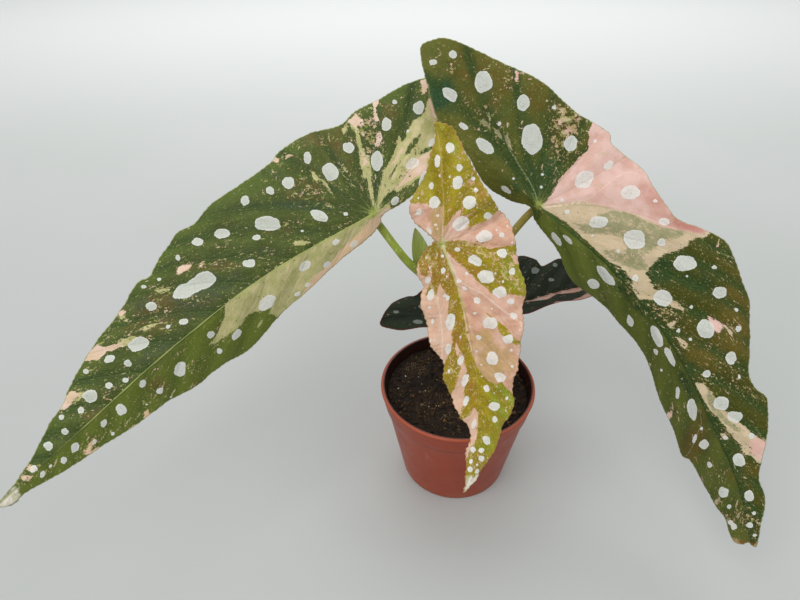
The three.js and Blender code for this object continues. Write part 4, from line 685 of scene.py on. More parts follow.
def centripetal_curve(points, steps, fine=24):
    """Even steps along a centripetal Catmull-Rom line through rows [x, y, z, radius]."""
    p = np.array(points, float)
    ends = [2 * p[0] - p[1], *p, 2 * p[-1] - p[-2]]
    line = []
    for k in range(1, len(ends) - 2):
        a, b, c, d = ends[k - 1:k + 3]
        ta = 0.0
        tb = ta + np.linalg.norm((b - a)[:3]) ** 0.5
        tc = tb + np.linalg.norm((c - b)[:3]) ** 0.5
        td = tc + np.linalg.norm((d - c)[:3]) ** 0.5
        for t in np.linspace(tb, tc, fine, endpoint=False):
            ab, bc, cd = between(ta, tb, t, a, b), between(tb, tc, t, b, c), between(tc, td, t, c, d)
            line.append(between(tb, tc, t, between(ta, tc, t, ab, bc), between(tb, td, t, bc, cd)))
    line = np.array([*line, p[-1]])
    return even_steps(line, distances(line[:, :3])[-1] / steps)


def near_segments(points, starts, ends):
    """Distance from each point to the nearest of some segments."""
    away = np.empty(len(points))
    span = ends - starts
    squares = np.maximum((span ** 2).sum(1), TINY)
    for i in range(0, len(points), CHUNK):
        p = points[i:i + CHUNK, None, :] - starts[None]
        t = np.clip((p * span).sum(2) / squares, 0, 1)
        gap = np.hypot(p[..., 0] - span[:, 0] * t, p[..., 1] - span[:, 1] * t)
        away[i:i + CHUNK] = gap.min(1)
    return away


def near_ring(points, ring):
    """Distance to a finely stepped closed ring, its nearest step, and how far along that step."""
    tree = KDTree(len(ring))
    for i, (x, y) in enumerate(ring):
        tree.insert((x, y, 0), i)
    tree.balance()
    nearest = np.array([tree.find((x, y, 0))[1] for x, y in points])
    away = np.full(len(points), np.inf)
    which = np.zeros(len(points), int)
    share = np.zeros(len(points))
    for shift in (-1, 0):
        k = (nearest + shift) % len(ring)
        start = ring[k]
        span = ring[(k + 1) % len(ring)] - start
        t = np.clip(((points - start) * span).sum(1) / np.maximum((span ** 2).sum(1), TINY), 0, 1)
        gap = np.linalg.norm(points - start - span * t[:, None], axis=1)
        better = gap < away
        away[better], which[better], share[better] = gap[better], k[better], t[better]
    return away, which, share


def inside(points, ring):
    """Which points lie inside a closed ring."""
    ends = np.roll(ring, -1, axis=0)
    result = np.empty(len(points), bool)
    for i in range(0, len(points), CHUNK):
        x, y = points[i:i + CHUNK, 0, None], points[i:i + CHUNK, 1, None]
        spans = (ring[:, 1] > y) != (ends[:, 1] > y)
        rise = np.where(ends[:, 1] == ring[:, 1], TINY, ends[:, 1] - ring[:, 1])
        cross = ring[:, 0] + (y - ring[:, 1]) * (ends[:, 0] - ring[:, 0]) / rise
        result[i:i + CHUNK] = (spans & (x < cross)).sum(1) % 2 == 1
    return result


# Meshes

def hex_lattice(low, high, step):
    """Points of a lattice of even triangles over a box."""
    row = step * math.sqrt(3) / 2
    k = np.arange(math.floor(low[1] / row), math.ceil(high[1] / row) + 1)
    i = np.arange(math.floor(low[0] / step), math.ceil(high[0] / step) + 1)
    i, k = np.meshgrid(i, k)
    return np.stack([(i + 0.5 * (k % 2)) * step, k * row], 2).reshape(-1, 2)


def fill_ring(ring, lattice):
    """A flat mesh inside a ring: its places, its triangles, and the given points behind each place."""
    places = [Vector(p) for p in np.vstack([ring, lattice])]
    flat, _, faces, origin, _, _ = delaunay_2d_cdt(places, [], [list(range(len(ring)))], 1, 1e-7)
    return np.array([p[:] for p in flat]), faces, origin


def loft_faces(count, sides):
    """Faces between neighbouring rings of points."""
    faces = []
    for i in range(count - 1):
        for k in range(sides):
            a, b = i * sides + k, i * sides + (k + 1) % sides
            faces.append((a, b, b + sides, a + sides))
    return faces


def turned_over(faces):
    return [(face[0], *face[:0:-1]) for face in faces]


def make_mesh(name, points, faces, smooth=True, slots=None):
    """A mesh from points in mm, smooth all over or where told, with a material slot for each face."""
    mesh = bpy.data.meshes.new(name)
    mesh.from_pydata((np.array(points) * MM).tolist(), [], faces)
    mesh.polygons.foreach_set("use_smooth", np.ones(len(faces), bool) & smooth)
    if slots is not None:
        mesh.polygons.foreach_set("material_index", np.array(slots, np.int32))
    mesh.update()
    return mesh


def add_field(mesh, name, values):
    """Keeps a value for each point, for the materials."""
    layer = mesh.attributes.new(name, "FLOAT", "POINT")
    layer.data.foreach_set("value", values.astype(np.float32))


def put_in_scene(name, data):
    holder = bpy.data.objects.new(name, data)
    bpy.context.scene.collection.objects.link(holder)
    return holder


def show(piece_name, mesh, slot, *nodes):
    """Puts a mesh in the scene, attached to the root, and hides these nodes."""
    piece = put_in_scene(piece_name, mesh)
    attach(piece, "root")
    if nodes:
        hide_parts(*nodes)


# Shapes of the blades

VEIN_SLANT = 1.15  # how far a side vein runs towards the tip for each mm across, and how that grows
VEIN_BOW = 0.010
VEIN_REACH = 60
VEIN_STEP = 4
FAN_BOW = 0.0035
FAN_REACH = 1.7
PROBE = 0.5  # half the length over which the midrib's direction is taken
EDGE_SHARE = 0.62  # steps of the edge, as a share of the lattice's
# Waves along the edge, each as wave, swing and drift: a tooth every 2.9 mm, their sizes, and two slow ones.
EDGE_WAVES = ((2.9 / math.pi, 1.4, 13), (2.3, 1.7, 6.1), (5.3, 1, 17), (1.5, 2, 9))
GRAIN_REACH = 80
FAN_WIDTH = 28  # grain across the fan for each radian
HALF_SHIFT = 370  # parts the grain of the two halves
PUCKERS = ((6.5, 1.4, 0.3), (4.1, 1.8, 1.7), (2.9, 1.3, 4.1), (8.7, 0.9, 2.2))  # wave, stretch, start
PUCKER_SCALE = 15

# Half the sheet's thickness at the edge and what it gains inwards, the midrib's groove above, and what the
# midrib, side veins and joint add below, with their widths.
SHEET = {
    "edge_half": 0.13, "gain": 0.17, "gain_width": 2.5, "groove": 0.3, "groove_width": 1.3, "rib": 1.2,
    "rib_width": 1.0, "vein": 0.4, "vein_width": 0.8, "vein_reach": 50, "vein_end": 6, "joint": 0.5,
    "joint_width": 3.5,
}
# Widths over which the relief grows or fades: pleats from the joint and the edge, waves from the edge inwards
# and from the midrib, the groove towards the tip, and the puckers at the rim.
CALM = {"joint": 22, "edge": 10, "inside": 15, "midrib": 8, "tip": 60, "rim": 4}
RIM_GAP = 0.42  # room between the edge and the lattice, as a share of the lattice's step


def side_vein(t):
    """How far along the midrib a side vein has run at t mm across."""
    return VEIN_SLANT * t + VEIN_BOW * t ** 2


def blade_length(spec):
    return spec["spine"][-1][0]


def blade_points(spec, uv):
    """The smooth middle surface of a blade, in mm."""
    u, v = uv[:, 0], uv[:, 1]

    def spine(s):
        return np.stack([cubic(spec["spine"], s, c) for c in (1, 2, 3)], 1)

    along = unit(spine(u + PROBE) - spine(u - PROBE))
    share = np.clip(u / blade_length(spec), 0, 1)[:, None]
    across = np.array(spec["across"][0]) * (1 - share) + np.array(spec["across"][1]) * share
    across = unit(across - along * (across * along).sum(1, keepdims=True))
    up = np.cross(across, along)
    up *= np.where(up[:, 2:] < 0, -1, 1)
    is_a = v >= 0
    fold = np.radians(np.where(is_a, level(spec["fold_a"], u), level(spec["fold_b"], u)))
    curl = np.radians(np.where(is_a, spec["curl_a"], spec["curl_b"]))
    width = np.abs(v)
    flat = curl == 0
    bend = np.where(flat, 1, curl)
    out = np.where(flat, np.cos(fold) * width, (np.sin(fold + curl * width) - np.sin(fold)) / bend)
    drop = np.where(flat, -np.sin(fold) * width, (np.cos(fold + curl * width) - np.cos(fold)) / bend)
    side = np.where(is_a, 1, -1)
    return spine(u) + across * (side * out)[:, None] + up * drop[:, None]


def sway(run, wave, swing, drift):
    """A wave whose length drifts."""
    return np.sin(run / wave + swing * np.sin(run / drift))


def blade_edge(spec):
    """The edge as a ring of even steps, with small teeth, and how far along it each step is."""
    tip = [blade_length(spec), 0]
    line = uniform_curve([tip, *spec["outline_a"], spec["notch"], *spec["outline_b"], tip], 12)
    step = spec["spacing"] * EDGE_SHARE
    ring = even_steps(line, step)[:-1]
    ahead = unit(np.roll(ring, -1, axis=0) - np.roll(ring, 1, axis=0))
    outward = np.stack([ahead[:, 1], -ahead[:, 0]], 1)
    if ((ring - ring.mean(0)) * outward).sum() < 0:
        outward = -outward
    run = np.arange(len(ring)) * step
    tooth, size, slow, shiver = (sway(run, *wave) for wave in EDGE_WAVES)
    teeth = np.abs(tooth) ** 1.5 * (0.8 + 0.4 * size) - 0.6 + 0.5 * (slow + 0.8 * shiver)
    return ring + outward * (spec["relief"]["teeth"] * teeth)[:, None], run


def blade_veins(spec):
    """Segments of the side veins and of those that fan out from the joint."""
    t = np.arange(0, VEIN_REACH + 0.1, VEIN_STEP)
    lines = []
    for side, feet in ((1, spec["feet_a"]), (-1, spec["feet_b"])):
        lines += [np.stack([foot + side_vein(t), side * t], 1) for foot in feet]
    for side, angles in ((1, spec["fan_a"]), (-1, spec["fan_b"])):
        for angle in angles:
            turn = math.radians(angle) + FAN_BOW * t * np.sign(90 - angle)
            reach = t * FAN_REACH
            lines.append(np.stack([reach * np.cos(turn), side * reach * np.sin(turn)], 1))
    return np.vstack([line[:-1] for line in lines]), np.vstack([line[1:] for line in lines])


def grain_places(uv):
    """Places of points across and along the side veins, in mm, unbroken from the lobe to the tip."""
    u, v = uv[:, 0], np.abs(uv[:, 1])
    run = side_vein(v)
    foot = u - run
    t = np.linspace(0, GRAIN_REACH, 200)
    bow = side_vein(t)
    reach = np.hypot(u, v)
    first = np.arctan2(np.interp(reach, np.hypot(bow, t), t), np.interp(reach, np.hypot(bow, t), bow))
    across = np.where(foot >= 0, foot, (first - np.arctan2(v, u)) * FAN_WIDTH)
    along = np.where(foot >= 0, np.hypot(run, v), reach)
    return np.stack([across, along + np.where(uv[:, 1] < 0, HALF_SHIFT, 0)], 1)


def quilt(uv):
    """Low puckers of the skin between the small veins, from waves across and along the side veins."""
    across, along = grain_places(uv).T
    total = np.zeros(len(uv))
    for wave, stretch, start in PUCKERS:
        first = np.sin(2 * math.pi * across / wave + start + 1.3 * np.sin(along / wave))
        second = np.sin(2 * math.pi * along / (wave * stretch) + 2 * start + np.sin(across / wave))
        total += wave * first * second
    return total / PUCKER_SCALE


def blade_lift(spec, uv, vein, edge, edge_run, reach, from_rib):
    """Height of the sheet over the smooth surface: pleats, edge waves, puckers and the midrib's groove."""
    u, v = uv[:, 0], uv[:, 1]
    relief = spec["relief"]
    pleat = relief["pleat"] * (1 - bump(vein, relief["pleat_width"]))
    pleat *= grown(reach, CALM["joint"]) * (0.3 + 0.7 * grown(edge, CALM["edge"]))
    wave = relief["wave"] * np.where(v < 0, relief["wave_b"], 1)
    wave *= np.sin(2 * math.pi * edge_run / relief["wave_length"])
    wave *= falling(edge, CALM["inside"]) ** 2 * grown(from_rib, CALM["midrib"]) ** 2
    groove = SHEET["groove"] * bump(from_rib, SHEET["groove_width"])
    groove *= np.clip((blade_length(spec) - u) / CALM["tip"], 0, 1)
    return pleat + wave - groove + relief["quilt"] * quilt(uv) * grown(edge, CALM["rim"])


def point_normals(points, faces):
    cross = np.cross(points[faces[:, 1]] - points[faces[:, 0]], points[faces[:, 2]] - points[faces[:, 0]])
    total = np.zeros_like(points)
    for corner in range(3):
        np.add.at(total, faces[:, corner], cross)
    return unit(total)


def closed_sheet(faces, count):
    """Triangles of a sheet's top, underside and the wall between them, for count points on each side."""
    pairs = np.vstack([faces[:, [0, 1]], faces[:, [1, 2]], faces[:, [2, 0]]])
    border = pairs[~np.isin(pairs[:, 0] * count + pairs[:, 1], pairs[:, 1] * count + pairs[:, 0])]
    a, b = border[:, 0], border[:, 1]
    walls = np.vstack([np.stack([b, a, a + count], 1), np.stack([b, a + count, b + count], 1)])
    return np.vstack([faces, faces[:, ::-1] + count, walls])


def flat_blade(spec):
    """Places and triangles of a flat blade, and how far each place is from the edge and along it."""
    ring, run = blade_edge(spec)
    step = spec["spacing"]
    lattice = hex_lattice(ring.min(0), ring.max(0), step)
    lattice = lattice[inside(lattice, ring)]
    lattice = lattice[near_ring(lattice, ring)[0] > RIM_GAP * step]
    uv, faces, _ = fill_ring(ring, lattice)
    edge, nearest, share = near_ring(uv, ring)
    return uv, np.array(faces), edge, run[nearest] + share * step * EDGE_SHARE


def thickness(spec, u, vein, edge, reach, from_rib):
    """How far the top lies above the sheet's middle and the underside below it, with its ribs."""
    half = SHEET["edge_half"] + SHEET["gain"] * grown(edge, SHEET["gain_width"])
    rib = SHEET["rib"] * np.sqrt(falling(u, blade_length(spec))) * bump(from_rib, SHEET["rib_width"])
    side = SHEET["vein"] * bump(vein, SHEET["vein_width"])
    side *= falling(from_rib, SHEET["vein_reach"]) * grown(edge, SHEET["vein_end"])
    return half, half + (rib + side + SHEET["joint"] * bump(reach, SHEET["joint_width"]))


def blade_mesh(name, spec):
    """A closed thin sheet with its places, distances and markings as attributes."""
    uv, faces, edge, edge_run = flat_blade(spec)
    vein = near_segments(uv, *blade_veins(spec))
    u, v = uv[:, 0], uv[:, 1]
    reach = np.hypot(u, v)
    from_rib = np.where(u < 0, reach, np.abs(v))
    base = blade_points(spec, uv)
    plain = point_normals(base, faces)
    if plain[np.argmin(reach), 2] < 0:
        faces = faces[:, ::-1]
        plain = -plain
    sheet = base + plain * blade_lift(spec, uv, vein, edge, edge_run, reach, from_rib)[:, None]
    up = point_normals(sheet, faces)
    above, below = thickness(spec, u, vein, edge, reach, from_rib)
    points = np.vstack([sheet + up * above[:, None], sheet - up * below[:, None]])
    triangles = closed_sheet(faces, len(uv))
    slots = np.zeros(len(triangles))
    slots[len(faces):2 * len(faces)] = 1
    mesh = make_mesh(name, points, triangles.tolist(), slots=slots)

    fields = {"vein": vein, "edge": edge, "reach": reach, "rib": from_rib, "half": np.clip(-v / 0.8, 0, 1)}
    fields.update(blade_markings(name, uv))
    for key, values in fields.items():
        add_field(mesh, key, np.tile(values, 2))
    corners = np.empty(len(mesh.loops), np.int32)
    mesh.loops.foreach_get("vertex_index", corners)
    for key, places in (("leaf", uv), ("grain", grain_places(uv))):
        layer = mesh.uv_layers.new(name=key)
        layer.data.foreach_set("uv", (np.tile(places, (2, 1))[corners] / UV_UNIT).astype(np.float32).ravel())
    return mesh


# Markings of the blades, worked out at each point

FAR = 30.0
NEAR_DOT = 4
UV_UNIT = 100  # millimetres of leaf for one unit of a UV layer
LOBES = np.array([0.06, 0.06, 0.05, 0.035, 0.03])  # how uneven a dot's rim is, for two waves round it to six


def ellipse_places(points, u, v, a, b, angle):
    """Places of points along and across an ellipse, in its half-axes."""
    turn = math.radians(angle)
    x, y = points[:, 0] - u, points[:, 1] - v
    return (x * math.cos(turn) + y * math.sin(turn)) / a, (y * math.cos(turn) - x * math.sin(turn)) / b


def spot_field(points, spots, seed):
    """Distance to the nearest of some uneven ellipses, in mm, below zero inside them."""
    rng = np.random.default_rng(seed)
    field = np.full(len(points), FAR)
    for u, v, a, b, angle in spots:
        lobes = rng.uniform(-1, 1, len(LOBES)) * LOBES
        turns = rng.uniform(0, 2 * math.pi, len(LOBES))
        k = np.flatnonzero(np.hypot(points[:, 0] - u, points[:, 1] - v) < a + NEAR_DOT)
        along, across = ellipse_places(points[k], u, v, a, b, angle)
        around = np.arctan2(across, along)
        size = 1 + sum(lobes[i] * np.cos((i + 2) * around + turns[i]) for i in range(len(LOBES)))
        width = a * b / np.sqrt((b * np.cos(around)) ** 2 + (a * np.sin(around)) ** 2)
        field[k] = np.minimum(field[k], (np.hypot(along, across) - size) * width)
    return field


def ring_field(points, rings):
    """The same for closed rings."""
    field = np.full(len(points), FAR)
    for ring in rings:
        ring = np.array(ring, float)
        low, high = ring.min(0) - FAR / 2, ring.max(0) + FAR / 2
        k = np.flatnonzero(((points > low) & (points < high)).all(1))
        if len(k):
            away = near_segments(points[k], ring, np.roll(ring, -1, axis=0))
            away = np.where(inside(points[k], ring), -away, away)
            field[k] = np.minimum(field[k], away)
    return field


def blob_field(points, blobs):
    """Strength of soft blobs."""
    field = np.zeros(len(points))
    for *place, strength in blobs:
        along, across = ellipse_places(points, *place)
        field = np.maximum(field, strength * np.exp(-0.7 * (along ** 2 + across ** 2)))
    return field


def line_field(points, lines):
    """Distance to the nearest of some lines, in their half widths."""
    field = np.full(len(points), FAR)
    for width, places in lines:
        places = np.array(places, float)
        field = np.minimum(field, near_segments(points, places[:-1], places[1:]) / width)
    return field


def blade_markings(name, uv):
    """Fields of the white dots, the pale patches and their holes, the tones and the pale lines."""
    fields = {"spot": spot_field(uv, SPOTS[name], len(SPOTS[name])), "line": line_field(uv, LINES[name])}
    for kind in ("pink", "cream", "sage", "white"):
        fields[kind] = ring_field(uv, PATCHES.get((name, kind), []))
    hole = ring_field(uv, PATCHES.get((name, "hole"), []))
    for kind in ("cream", "sage") if name != "blade_centre" else ("pink",):
        fields[kind] = np.maximum(fields[kind], -hole)
    fields["cream"] = np.minimum(fields["cream"], (fields["cream"] + fields["pink"]) / 2 - 1)
    for kind in ("fleck", "olive", "teal", "deep", "tan"):
        fields[kind] = blob_field(uv, TONES.get((name, kind), []))
    return fields


# Materials

def linear(code):
    """Linear red, green and blue of a colour written as #rrggbb."""
    parts = [int(code[i:i + 2], 16) / 255 for i in (1, 3, 5)]
    return tuple(p / 12.92 if p <= 0.04045 else ((p + 0.055) / 1.055) ** 2.4 for p in parts) + (1.0,)


class Graph:
    """A material's nodes, written as calls that return sockets."""

    def __init__(self, name):
        self.material = bpy.data.materials.new(name)
        self.material.use_nodes = True
        self.tree = self.material.node_tree
        self.tree.nodes.clear()

    def put(self, socket, value):
        if isinstance(value, bpy.types.NodeSocket):
            self.tree.links.new(value, socket)
        else:
            socket.default_value = linear(value) if isinstance(value, str) else value

    def node(self, kind, inputs, **settings):
        node = self.tree.nodes.new(kind)
        for key, value in settings.items():
            setattr(node, key, value)
        for key, value in inputs.items():
            self.put(node.inputs[key], value)
        return node

    def attr(self, name):
        return self.node("ShaderNodeAttribute", {}, attribute_name=name).outputs["Fac"]

    def uv(self, name):
        return self.node("ShaderNodeUVMap", {}, uv_map=name).outputs["UV"]

    def place(self):
        return self.node("ShaderNodeTexCoord", {}).outputs["Object"]

    def axis(self, vector, index):
        return self.node("ShaderNodeSeparateXYZ", {0: vector}).outputs[index]

    def math(self, operation, a, b=0.0):
        return self.node("ShaderNodeMath", {0: a, 1: b}, operation=operation).outputs[0]

    def add(self, a, b):
        return self.math("ADD", a, b)

    def times(self, a, b):
        return self.math("MULTIPLY", a, b)

    def highest(self, a, b):
        return self.math("MAXIMUM", a, b)

    def lowest(self, a, b):
        return self.math("MINIMUM", a, b)

    def blend(self, a, b, share):
        """A share of a and the rest of b."""
        return self.add(self.times(a, share), self.times(b, 1 - share))

    def swing(self, noise, amount):
        """A noise about zero, by an amount."""
        return self.times(self.add(noise, -0.5), amount)

    def stir(self, value, noise, amount):
        """A value made uneven by a noise."""
        return self.add(value, self.swing(noise, amount))

    def stretch(self, vector, scale):
        return self.node("ShaderNodeVectorMath", {0: vector, 1: scale}, operation="MULTIPLY").outputs[0]

    def noise(self, vector, scale, detail=2.0, roughness=0.5, distortion=0.0):
        """A noise at one scale, or drawn out where the scale is three numbers."""
        if isinstance(scale, tuple):
            vector, scale = self.stretch(vector, scale), 1.0
        inputs = {"Vector": vector, "Scale": scale, "Detail": detail, "Roughness": roughness,
                  "Distortion": distortion}
        return self.node("ShaderNodeTexNoise", inputs).outputs[0]

    def cells(self, vector, scale, feature="F1"):
        """Distance within cells at one scale, or drawn out where the scale is three numbers."""
        if isinstance(scale, tuple):
            vector, scale = self.stretch(vector, scale), 1.0
        inputs = {"Vector": vector, "Scale": scale, "Randomness": 1.0}
        return self.node("ShaderNodeTexVoronoi", inputs, feature=feature).outputs["Distance"]

    def ramp(self, value, low, high, start=0.0, end=1.0):
        """A smooth step from start at low to end at high."""
        inputs = {0: value, 1: low, 2: high, 3: start, 4: end}
        return self.node("ShaderNodeMapRange", inputs, interpolation_type="SMOOTHSTEP").outputs[0]

    def mix(self, share, a, b):
        return self.node("ShaderNodeMix", {0: share, 6: a, 7: b}, data_type="RGBA").outputs[2]

    def coats(self, colour, *coats):
        """A colour with coats laid over it, each as (share, colour)."""
        for share, coat in coats:
            colour = self.mix(share, colour, coat)
        return colour

    def finish(self, colour, roughness, height, depth, strength, gloss=0.3):
        inputs = {"Height": height, "Distance": depth, "Strength": strength}
        normal = self.node("ShaderNodeBump", inputs).outputs[0]
        inputs = {"Base Color": colour, "Roughness": roughness, "Specular IOR Level": gloss, "Normal": normal}
        surface = self.node("ShaderNodeBsdfPrincipled", inputs)
        self.node("ShaderNodeOutputMaterial", {"Surface": surface.outputs[0]})
        return self.material


# Looks of the blades: a row holds what the left, right, centre and back blades have. The back blade's
# column holds darker copies of the colours, partly an older leaf's own green and partly painted shade.
LOOKS = {
    # greens: ground, half b (painted lighter on the left and right blades), far end, soft tones (the left
    # blade's teal a painted sheen), painted shade in the valleys, rim (also painted light on the crests),
    # freckles and what lies under them
    "green": (
        ["#454f1f", "#4f5b27", "#3c471b"], ["#4f5825", "#5d5f26", "#434f20"],
        ["#b09a0a", "#baa822", "#9c8806"], ["#1b2216", "#1f2519", "#161d12"],
    ),
    # half: greens of half b, on the left and right blades painted lighter where that half lies in shade:
    # painted light
    "half": ("#6c792d", "#78853a", "#a4880f", "#1f2419"),
    "far": (None, (18, 80, 0.78, "#403f0b"), None, None),
    "olive": ("#64512a", "#635521", "#ab7a2e", "#282617"),
    "teal": ("#404d3a", "#2a4c2f", "#8fa228", "#18211b"),
    "dark": ("#444e35", "#2a4021", "#8fa228", "#18211b"),
    "valley_shade": ("#32451f", "#2e4620", "#94800a", "#141b10"),
    "rim_green": ("#56672a", "#69692b", "#a39a30", "#232c1a"),
    "light": ("#8a9648", "#8a8e4a", "#cfc87a", "#303a26"),
    "moss": ("#3a4a20", "#38401d", "#98821a", "#141b10"),
    "fleck": ("#b8a274", "#c0a67a", "#e0c49c", "#4a3c30"),
    # pale patches, their veins and the small lines in them
    "pink": (["#e6c9b7", "#dabd9f"], ["#eac4b9", "#e1b6a8"], ["#ebbfa9", "#dfac90"], ["#a88478", "#94695e"]),
    # pinks of half b, painted lighter: painted light
    "pink_half_lit": ("#fad2a0", "#f4d6b8", "#f0ccb0", "#a88c78"),
    "deep": ("#d6b088", "#c4877a", "#d0957c", "#96463f"),
    "tan": ("#cfb486", "#c4a878", "#c8a46f", "#8a7a5c"),
    "cream": (
        ["#c1bb82", "#b0b070"], ["#d3c0a0", "#c9b792"], ["#d8be94", "#ccb082"], ["#8a8468", "#7f7a5c"],
    ),
    "sage": (["#a1a274", "#aca882"], ["#9f9b76", "#92916a"], ["#c4ac7a", "#cda982"], ["#6b6a50", "#62634a"]),
    "streak": ("#d2c698", "#d2bb98", "#e8d2b8", "#9a8a74"),
    "line": ("#8c9a5c", "#93a37e", "#c9a85c", "#3a4a30"),
    "line_pale": ("#d6cf9c", "#f3d8c4", "#f5dac8", "#9a8a74"),
    # side veins, midrib, joint, margin (on the left and right blades a painted highlight), white dots and tip
    "vein": ("#6d8038", "#5a7040", "#b8a24c", "#1f2b19"),
    "rib_top": ("#b4bc6c", "#4f6a38", "#dcd9a6", "#2c3a24"),
    "rib": ("#adb568", "#33481f", "#c2ab60", "#263420"),
    "joint": ("#a9b25e", "#b5bf62", "#cfcf92", "#4c5a34"),
    "margin": ("#a5a96c", "#9da274", "#b58a5c", "#8a2f35"),
    # On the back blade the white dots are painted grey: painted shade.
    "dot": ("#c8cbc1", "#cfd2ca", "#efece2", "#6b706a"),
    "dot_pale": ("#ecdfd0", "#efe3dd", "#f4e8e0", "#8c8074"),
    "dot_rim": ("#f3f2ec", "#f3f2ec", "#f8f6f0", "#747972"),
    "tip": (["#f0e8d8", "#d6d0b0"], ["#e4dece", "#cbc8a8"], ["#f4ede2", "#e2ddc6"], ["#8a8a80", "#7c7c70"]),
    "burnt": (None, (202, 204.5), None, None),
    # shares, and lengths in millimetres
    "gloss": (0.15, 0.09, 0.15, 0.05),
    "star": (0.5, 0.35, 0.3, 0.2),
    # fold: painted shade along the midrib's crease, on the right blade only
    "fold": (0, 0.6, 0, 0),
    "fray": (0.1, 0.1, 0.5, 0.1),
    "beige": (0, 0.07, 0.02, 0),
    "crowding": (0.066, 0.058, 0.066, 0.05),
    "dust": (0.8, 0.75, 0.8, 0.5),
    "rib_width": ((0.4, 0.24), (0.6, 0.36), (0.85, 0.2), (0.5, 0.3)),
    "rib_reach": ((145, 185), (150, 200), (100, 130), (80, 110)),
    "rib_share": (0.9, 0.8, 0.9, 0.6),
}

# Colours that the blades share.
SHADE = "#1c2410"
STAR = "#a3b060"
# Dots on half b, painted whiter: painted light.
DOT_HALF_LIT = "#f2f3ee"
GRIT = "#8a927e"
BURNT = ("#8a5a30", "#c0a070")
UNDER = {
    "ground": ("#6d3436", "#5b3a34"), "streak": "#7d4a40", "pale": "#c08a7c", "dot": "#c9a49c",
    "vein": "#9a5a4c", "rib": "#a08a4c",
}


class Leaf(Graph):
    """The nodes of a blade's top, with its look and the fields and noises that its coats share."""

    def __init__(self, name):
        super().__init__(name + "_top")
        column = list(BLADES).index(name)
        self.look = {key: row[column] for key, row in LOOKS.items()}
        self.leaf, self.grain = self.uv("leaf"), self.uv("grain")
        self.fine = self.noise(self.leaf, 110, 4, 0.65)
        self.tiny = self.noise(self.leaf, 260, 2, 0.6)
        self.middle = self.noise(self.leaf, 18, 3, 0.55)
        self.large = self.noise(self.leaf, 4.5, 2)
        self.clumps = self.noise(self.leaf, 30, 2, 0.6)
        self.streak = self.noise(self.grain, (42, 11, 0), 4, 0.65)
        self.thin_streak = self.noise(self.grain, (110, 46, 0), 4, 0.7)
        blots = self.noise(self.leaf, 70, 5, 0.75, 0.35)
        self.speck = self.blend(blots, self.noise(self.grain, (58, 24, 0), 4, 0.7), 0.62)
        self.vein, self.edge = self.attr("vein"), self.attr("edge")
        self.reach, self.rib = self.attr("reach"), self.attr("rib")
        self.pink, self.cream, self.fleck = self.attr("pink"), self.attr("cream"), self.attr("fleck")
        self.along = self.times(self.axis(self.leaf, 0), UV_UNIT)
        self.half = self.times(self.attr("half"), self.ramp(self.along, 0, 9))

    def toned(self, field, swing=1.1):
        """Where a soft tone shows."""
        return self.ramp(self.stir(self.attr(field), self.middle, swing), 0.15, 0.85)

    def ragged(self, field, jag):
        """Distance to a patch whose rim is torn along the grain, away from the midrib."""
        jags = self.stir(self.swing(self.streak, 1.5 * jag), self.thin_streak, 1.7 * jag)
        jags = self.stir(jags, self.fine, 1.4)
        return self.add(field, self.times(jags, self.ramp(self.rib, 0.2, 3.2, 0.1, 1)))


def leaf_ground(g, look):
    """Greens with painted shade in the valleys over the side veins, painted light on the crests, grain and
    dust-fine dots.
    """
    # Painted light: a lighter green on the crests between the side veins; the painted valley shade is weaker
    # on half b.
    less_shade_on_half = g.ramp(g.half, 0, 1, 1, 0.45)
    crest_light = g.times(g.ramp(g.stir(g.vein, g.middle, 6), 3, 8), g.ramp(g.reach, 8, 30, 0, 0.3))
    colour = g.coats(
        g.mix(g.ramp(g.large, 0.4, 0.56), look["green"][0], look["green"][1]),
        (g.ramp(g.streak, 0.44, 0.6, 0, 0.55), look["green"][2]),
        (crest_light, look["rim_green"]),
        (g.ramp(g.stir(g.edge, g.middle, 12), 11, 1, 0, 0.7), look["rim_green"]),
        # painted light: lighter greens on half b
        (g.times(g.half, 0.8), look["half"]),
    )
    if look["far"]:
        start, end, share, tone = look["far"]
        far = g.ramp(g.stir(g.along, g.middle, 40), start, end, 0, share)
        colour = g.mix(g.times(far, g.ramp(g.half, 0, 1, 1, 0.6)), colour, tone)
    # teal: a painted sheen on the left blade, a tone of the green on the others
    teal = g.mix(g.ramp(g.along, 20, 50), look["teal"], look["dark"])
    colour = g.coats(colour, (g.toned("olive"), look["olive"]), (g.toned("teal"), teal))
    # Painted shade: darker beside the midrib where the right blade's half b folds down.
    if look["fold"]:
        fold = g.times(g.ramp(g.stir(g.rib, g.middle, 3), 5.5, 1), g.ramp(g.half, 0.1, 0.6, 1, 0))
        colour = g.mix(g.times(fold, g.ramp(g.along, 30, 60, 0, look["fold"])), colour, look["dark"])
    # Painted shade: darker greens in the valleys over the side veins.
    valley_shade = g.times(g.ramp(g.stir(g.vein, g.middle, 4), 4.2, 0.3), g.ramp(g.large, 0.35, 0.6, 0.35, 0.85))
    dots = g.highest(g.ramp(g.cells(g.leaf, 34), 0.15, 0.09), g.ramp(g.cells(g.leaf, 58), 0.16, 0.1))
    return g.coats(
        colour,
        (g.times(valley_shade, less_shade_on_half), look["valley_shade"]),
        (g.ramp(g.fine, 0.48, 0.72, 0, 0.3), look["light"]),
        (g.ramp(g.tiny, 0.48, 0.3, 0, 0.35), SHADE),
        (g.times(dots, g.ramp(g.clumps, 0.42, 0.58, 0.1, look["dust"])), look["light"]),
    )


